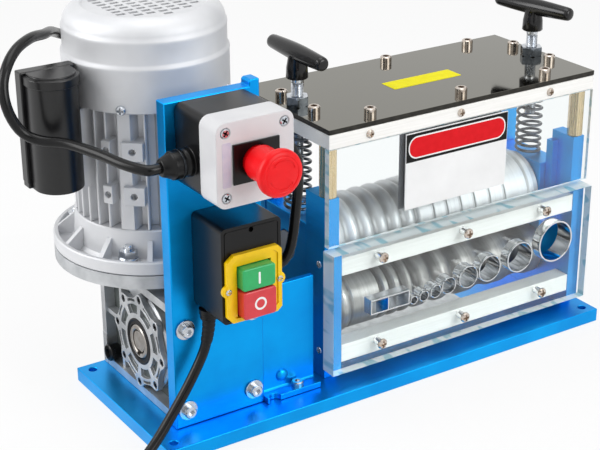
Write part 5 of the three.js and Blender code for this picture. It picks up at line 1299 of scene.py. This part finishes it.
def top_frame():
    """Pale rail on the pillars and the polished plate on it, with its nuts, screws and bare label."""
    screw_hole = 5.3
    ends = (RAIL_LOW - 2, RAIL_TOP + 2)
    holes = [rod("z", screw_hole, ends, (x, LINE_Y), steps=32) for x in HANDLE_XS]
    window = block((-33.5, 188.5), (-39, 53), ends)
    rail = cut(block(BOX_WIDE, RAIL_DEEP, (RAIL_LOW, RAIL_TOP)), window, *holes)
    piece("pale_rail", rail, PALE, "top_rail", bevel=0.6)
    holes = [rod("z", screw_hole, (RAIL_TOP - 2, PLATE_TOP + 2), (x, LINE_Y), steps=32) for x in HANDLE_XS]
    plate = cut(block(BOX_WIDE, RAIL_DEEP, (RAIL_TOP + 0.3, PLATE_TOP)), *holes)
    for face in plate.faces:
        face.material_index = 0 if abs(face.normal.z) > 0.5 else 1
    piece("polished_plate", plate, [MIRROR, EDGE], "top_plate", bevel=0.3)
    screw = facing(cross_head(3.6, 2.2), FRONT)
    copied("rail_screws", screw, [(x, RAIL_DEEP[0], 221.8) for x in (-21, 69.5, 165)], NICKEL)
    # Each nut's sides are painted dark as painted shade, and a thin zinc disc on its top shows the nut's own
    # zinc plating.
    nut, top = hex_nut(17, 7.6, 5.1, 1.1), hex_nut(16.4, 0.5, 5.1, 0.3)
    copied("jam_nuts", nut, [(x, LINE_Y, PLATE_TOP) for x in HANDLE_XS], NUT_SIDE_SHADE, bevel=0.3)
    copied("nut_tops", top, [(x, LINE_Y, PLATE_TOP + 7.5) for x in HANDLE_XS], ZINC)
    places = [(x, y, PLATE_TOP) for x in (-45.5, 200.5) for y in (-17, 31)]
    places += [(x, y, PLATE_TOP) for x in (-11, 80.2, 170.7) for y in (-45, 59)]
    copied("cap_screws", socket_head(5, 6, 2.9), places, NICKEL, smooth=30)
    label = prism("z", rounded((42, 112), (-6, 13), 0.8, 3), (PLATE_TOP - 0.05, PLATE_TOP + 0.2))
    piece("bare_label", label, INK_YELLOW)


def t_handle(way, x, degrees):
    """Phenolic T handle on a zinc-plated screw that runs down inside its spring."""
    hub, bar, half, pitch = 254.4, 275.4, 40, 1.25
    end = [(0, 0), (3.2, 0), (4.6, 0.6), (5.5, 2), (5.9, 5), (6.6, 20), (7, 31), (7.1, 40)]
    end = stood_off(-half, 1, end)
    grip = turned("x", end + stood_off(0, -1, end[-2::-1]), (0, bar), 48)
    stem = [(0, 0), (8.2, 0), (9, 0.8), (8.6, 9), (7.8, 13.5), (6.8, bar - 1 - hub), (0, bar - hub)]
    form = fused(grip, turned("z", stood_off(hub, 1, stem), steps=48))
    place = Matrix.Translation((x, LINE_Y, 0)) @ Matrix.Rotation(math.radians(degrees), 4, "Z")
    name, body = "grip_" + way, "handle_" + way
    piece(name, placed(form, place), HANDLE, "t_handle_" + way, body=body, smooth=50)
    thread = [(0, 178.5), (4.2, 178.5)]
    height = 179.5
    while height < hub - 4:
        thread += [(5, height), (4.35, height + pitch / 2)]
        height += pitch
    thread += [(5, hub - 3), (5, hub + 1), (0, hub + 1)]
    piece(name + "_screw", turned("z", thread, (x, LINE_Y), 24), ZINC, body=body, smooth=20)


# ---------------------------------------------------------------- clear panels, sign, feeds and tray
def sawn_edges(form):
    """Gives the outer edges of an acrylic sheet their own look."""
    ends = [(min, "x"), (max, "x"), (min, "z"), (max, "z")]
    limits = [(axis, pick(getattr(vert.co, axis) for vert in form.verts)) for pick, axis in ends]
    for face in form.faces:
        face.material_index = int(any(
            all(abs(getattr(vert.co, axis) - limit) < 0.01 for vert in face.verts) for axis, limit in limits
        ))
    return form


def panels():
    """Clear upper panel with the bare sign on it, and a grey sheet behind the panel, shifted left of the
    sign, as the sign's painted shadow.
    """
    panel = sawn_edges(block(BOX_WIDE, (-59, -53), (132.3, 215.3)))
    piece("clear_panel", panel, [CLEAR, SAWN], "upper_panel", bevel=0.35)
    left, right, low, high = 13.5, 118.5, 149.3, 214.3
    sign_low, sign_high = high - 24.5, high - 0.6
    sheet = block((left, right), (-60.5, -59.3), (low, high))
    piece("bare_sign", sheet, PRINT, "sign_plate", slot="sign_white", bevel=0.1)
    piece("sign_band", block((left + 0.4, right - 0.4), (-60.62, -60.4), (sign_low, sign_high)), INK_BLACK)
    for name, finish_of, inset, front in (("border", PRINT, 2.4, -60.72), ("field", INK_RED, 3.6, -60.82)):
        wide, tall = (left + inset, right - inset), (sign_low + inset, sign_high - inset)
        oval = prism("y", rounded(wide, tall, 11.2 - inset, 10), (front, -60.5))
        piece("sign_" + name, oval, finish_of, slot="sign_white")
    # A grey sheet on the panel's back face, shifted left of the sign: painted shadow of the sign.
    piece("sign_film", block((left - 3, right - 3), (-52.95, -52.75), (low, high)), SIGN_SHADOW_GREY)


def lower_guard():
    """Thick clear slab bored for the feeds, and the two pale bars that it is screwed to."""
    screw_xs, through = (-11, 76.4, 163), (-70, -48)
    bars = (("bar_upper", "guard_bar_upper", 105, 116), ("bar_lower", "guard_bar_lower", 27, 38))
    slab = cut(
        block(BOX_WIDE, (GUARD_FRONT, GUARD_BACK), (21.3, 128.3)),
        *(rod("y", radius + 0.15, through, (x, SILL + radius), steps=64) for x, radius in FEEDS),
        block((-23.7, 15.7), through, (67.6, 81)),
        *(rod("y", 3.2, through, (x, bar[3]), steps=24) for x in screw_xs for bar in bars),
    )
    piece("clear_guard", sawn_edges(slab), [CLEAR, SAWN], "lower_guard", bevel=0.5)
    for name, node, low, z in bars:
        piece(name, block(HANDLE_XS, (PLATE_FRONT, -35.3), (low, low + 15.7)), PALE, node, bevel=0.5)
        screw = facing(cross_head(4.6, 2.4), FRONT)
        copied(name + "_screws", screw, [(x, GUARD_FRONT - 0.2, z) for x in screw_xs], NICKEL)
        shank = rod("y", 2.9, (GUARD_FRONT - 0.2, PLATE_FRONT + 1), steps=24)
        copied(name + "_shanks", shank, [(x, 0, z) for x in screw_xs], OXIDE, smooth=40)


def feeds():
    """Thin polished tubes of rising size, and the two flat feeds folded from one strip."""
    for index, (x, radius) in enumerate(FEEDS, 1):
        inner = radius - max(0.75, radius * 0.08)
        ring = [
            (inner, FEED_BACK), (radius, FEED_BACK), (radius, FEED_FRONT + 0.3), (radius - 0.3, FEED_FRONT),
            (inner + 0.3, FEED_FRONT), (inner, FEED_FRONT + 0.3),
        ]
        form = turned("y", ring, (x, SILL + radius), 72, True)
        piece(f"feed_{index}", form, TUBE, f"feed_tube_{index}", smooth=30)
    holes = [block(xs, (-70, -49), (68.8, 79.8)) for xs in ((-22.5, -6.5), (-5.5, 14.5))]
    flats = cut(block((-23.5, 15.5), (FEED_FRONT, FEED_BACK), (67.8, 80.8)), *holes)
    piece("feed_flats", flats, TUBE, "flat_feeds", bevel=0.15)


def tray():
    front, back, left, lip = -29, 59, -32, 18.3
    outline = [(front, DECK), (back, DECK), (back, lip), (57.5, lip), (57.5, 13.8), (front, 13.8)]
    form = merged(prism("x", outline, (left, 129)), block((left, left + 1.5), (front, back), (DECK, lip)))
    piece("chip_tray", form, TRAY, "scrap_tray", bevel=0.3)


# ---------------------------------------------------------------- the whole scene
camera()
studio()
leads()
base()
gearbox()
gearbox_cover("cover_left", -1, "gearbox_cover_left")
gearbox_cover("cover_right", 1, "gearbox_cover_right")
worm_shaft()
drive_link()
motor_flange()
motor_body()
motor_cover()
capacitor()
terminal_box()
bracket()
stop_box()
stop_mushroom()
switch_box()
push_buttons()
angle_guard()
side_plates()
bearing_blocks()
lower_roller()
upper_roller()
springs()
posts()
top_frame()
t_handle("left", HANDLE_XS[0], 88)
t_handle("right", HANDLE_XS[1], 101)
panels()
lower_guard()
feeds()
tray()
for node, look_of in (("motor_rotor", ZINC), ("cooling_fan", BLACK)):
    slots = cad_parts[node].data.materials
    slots.clear()
    slots.append(look_of)
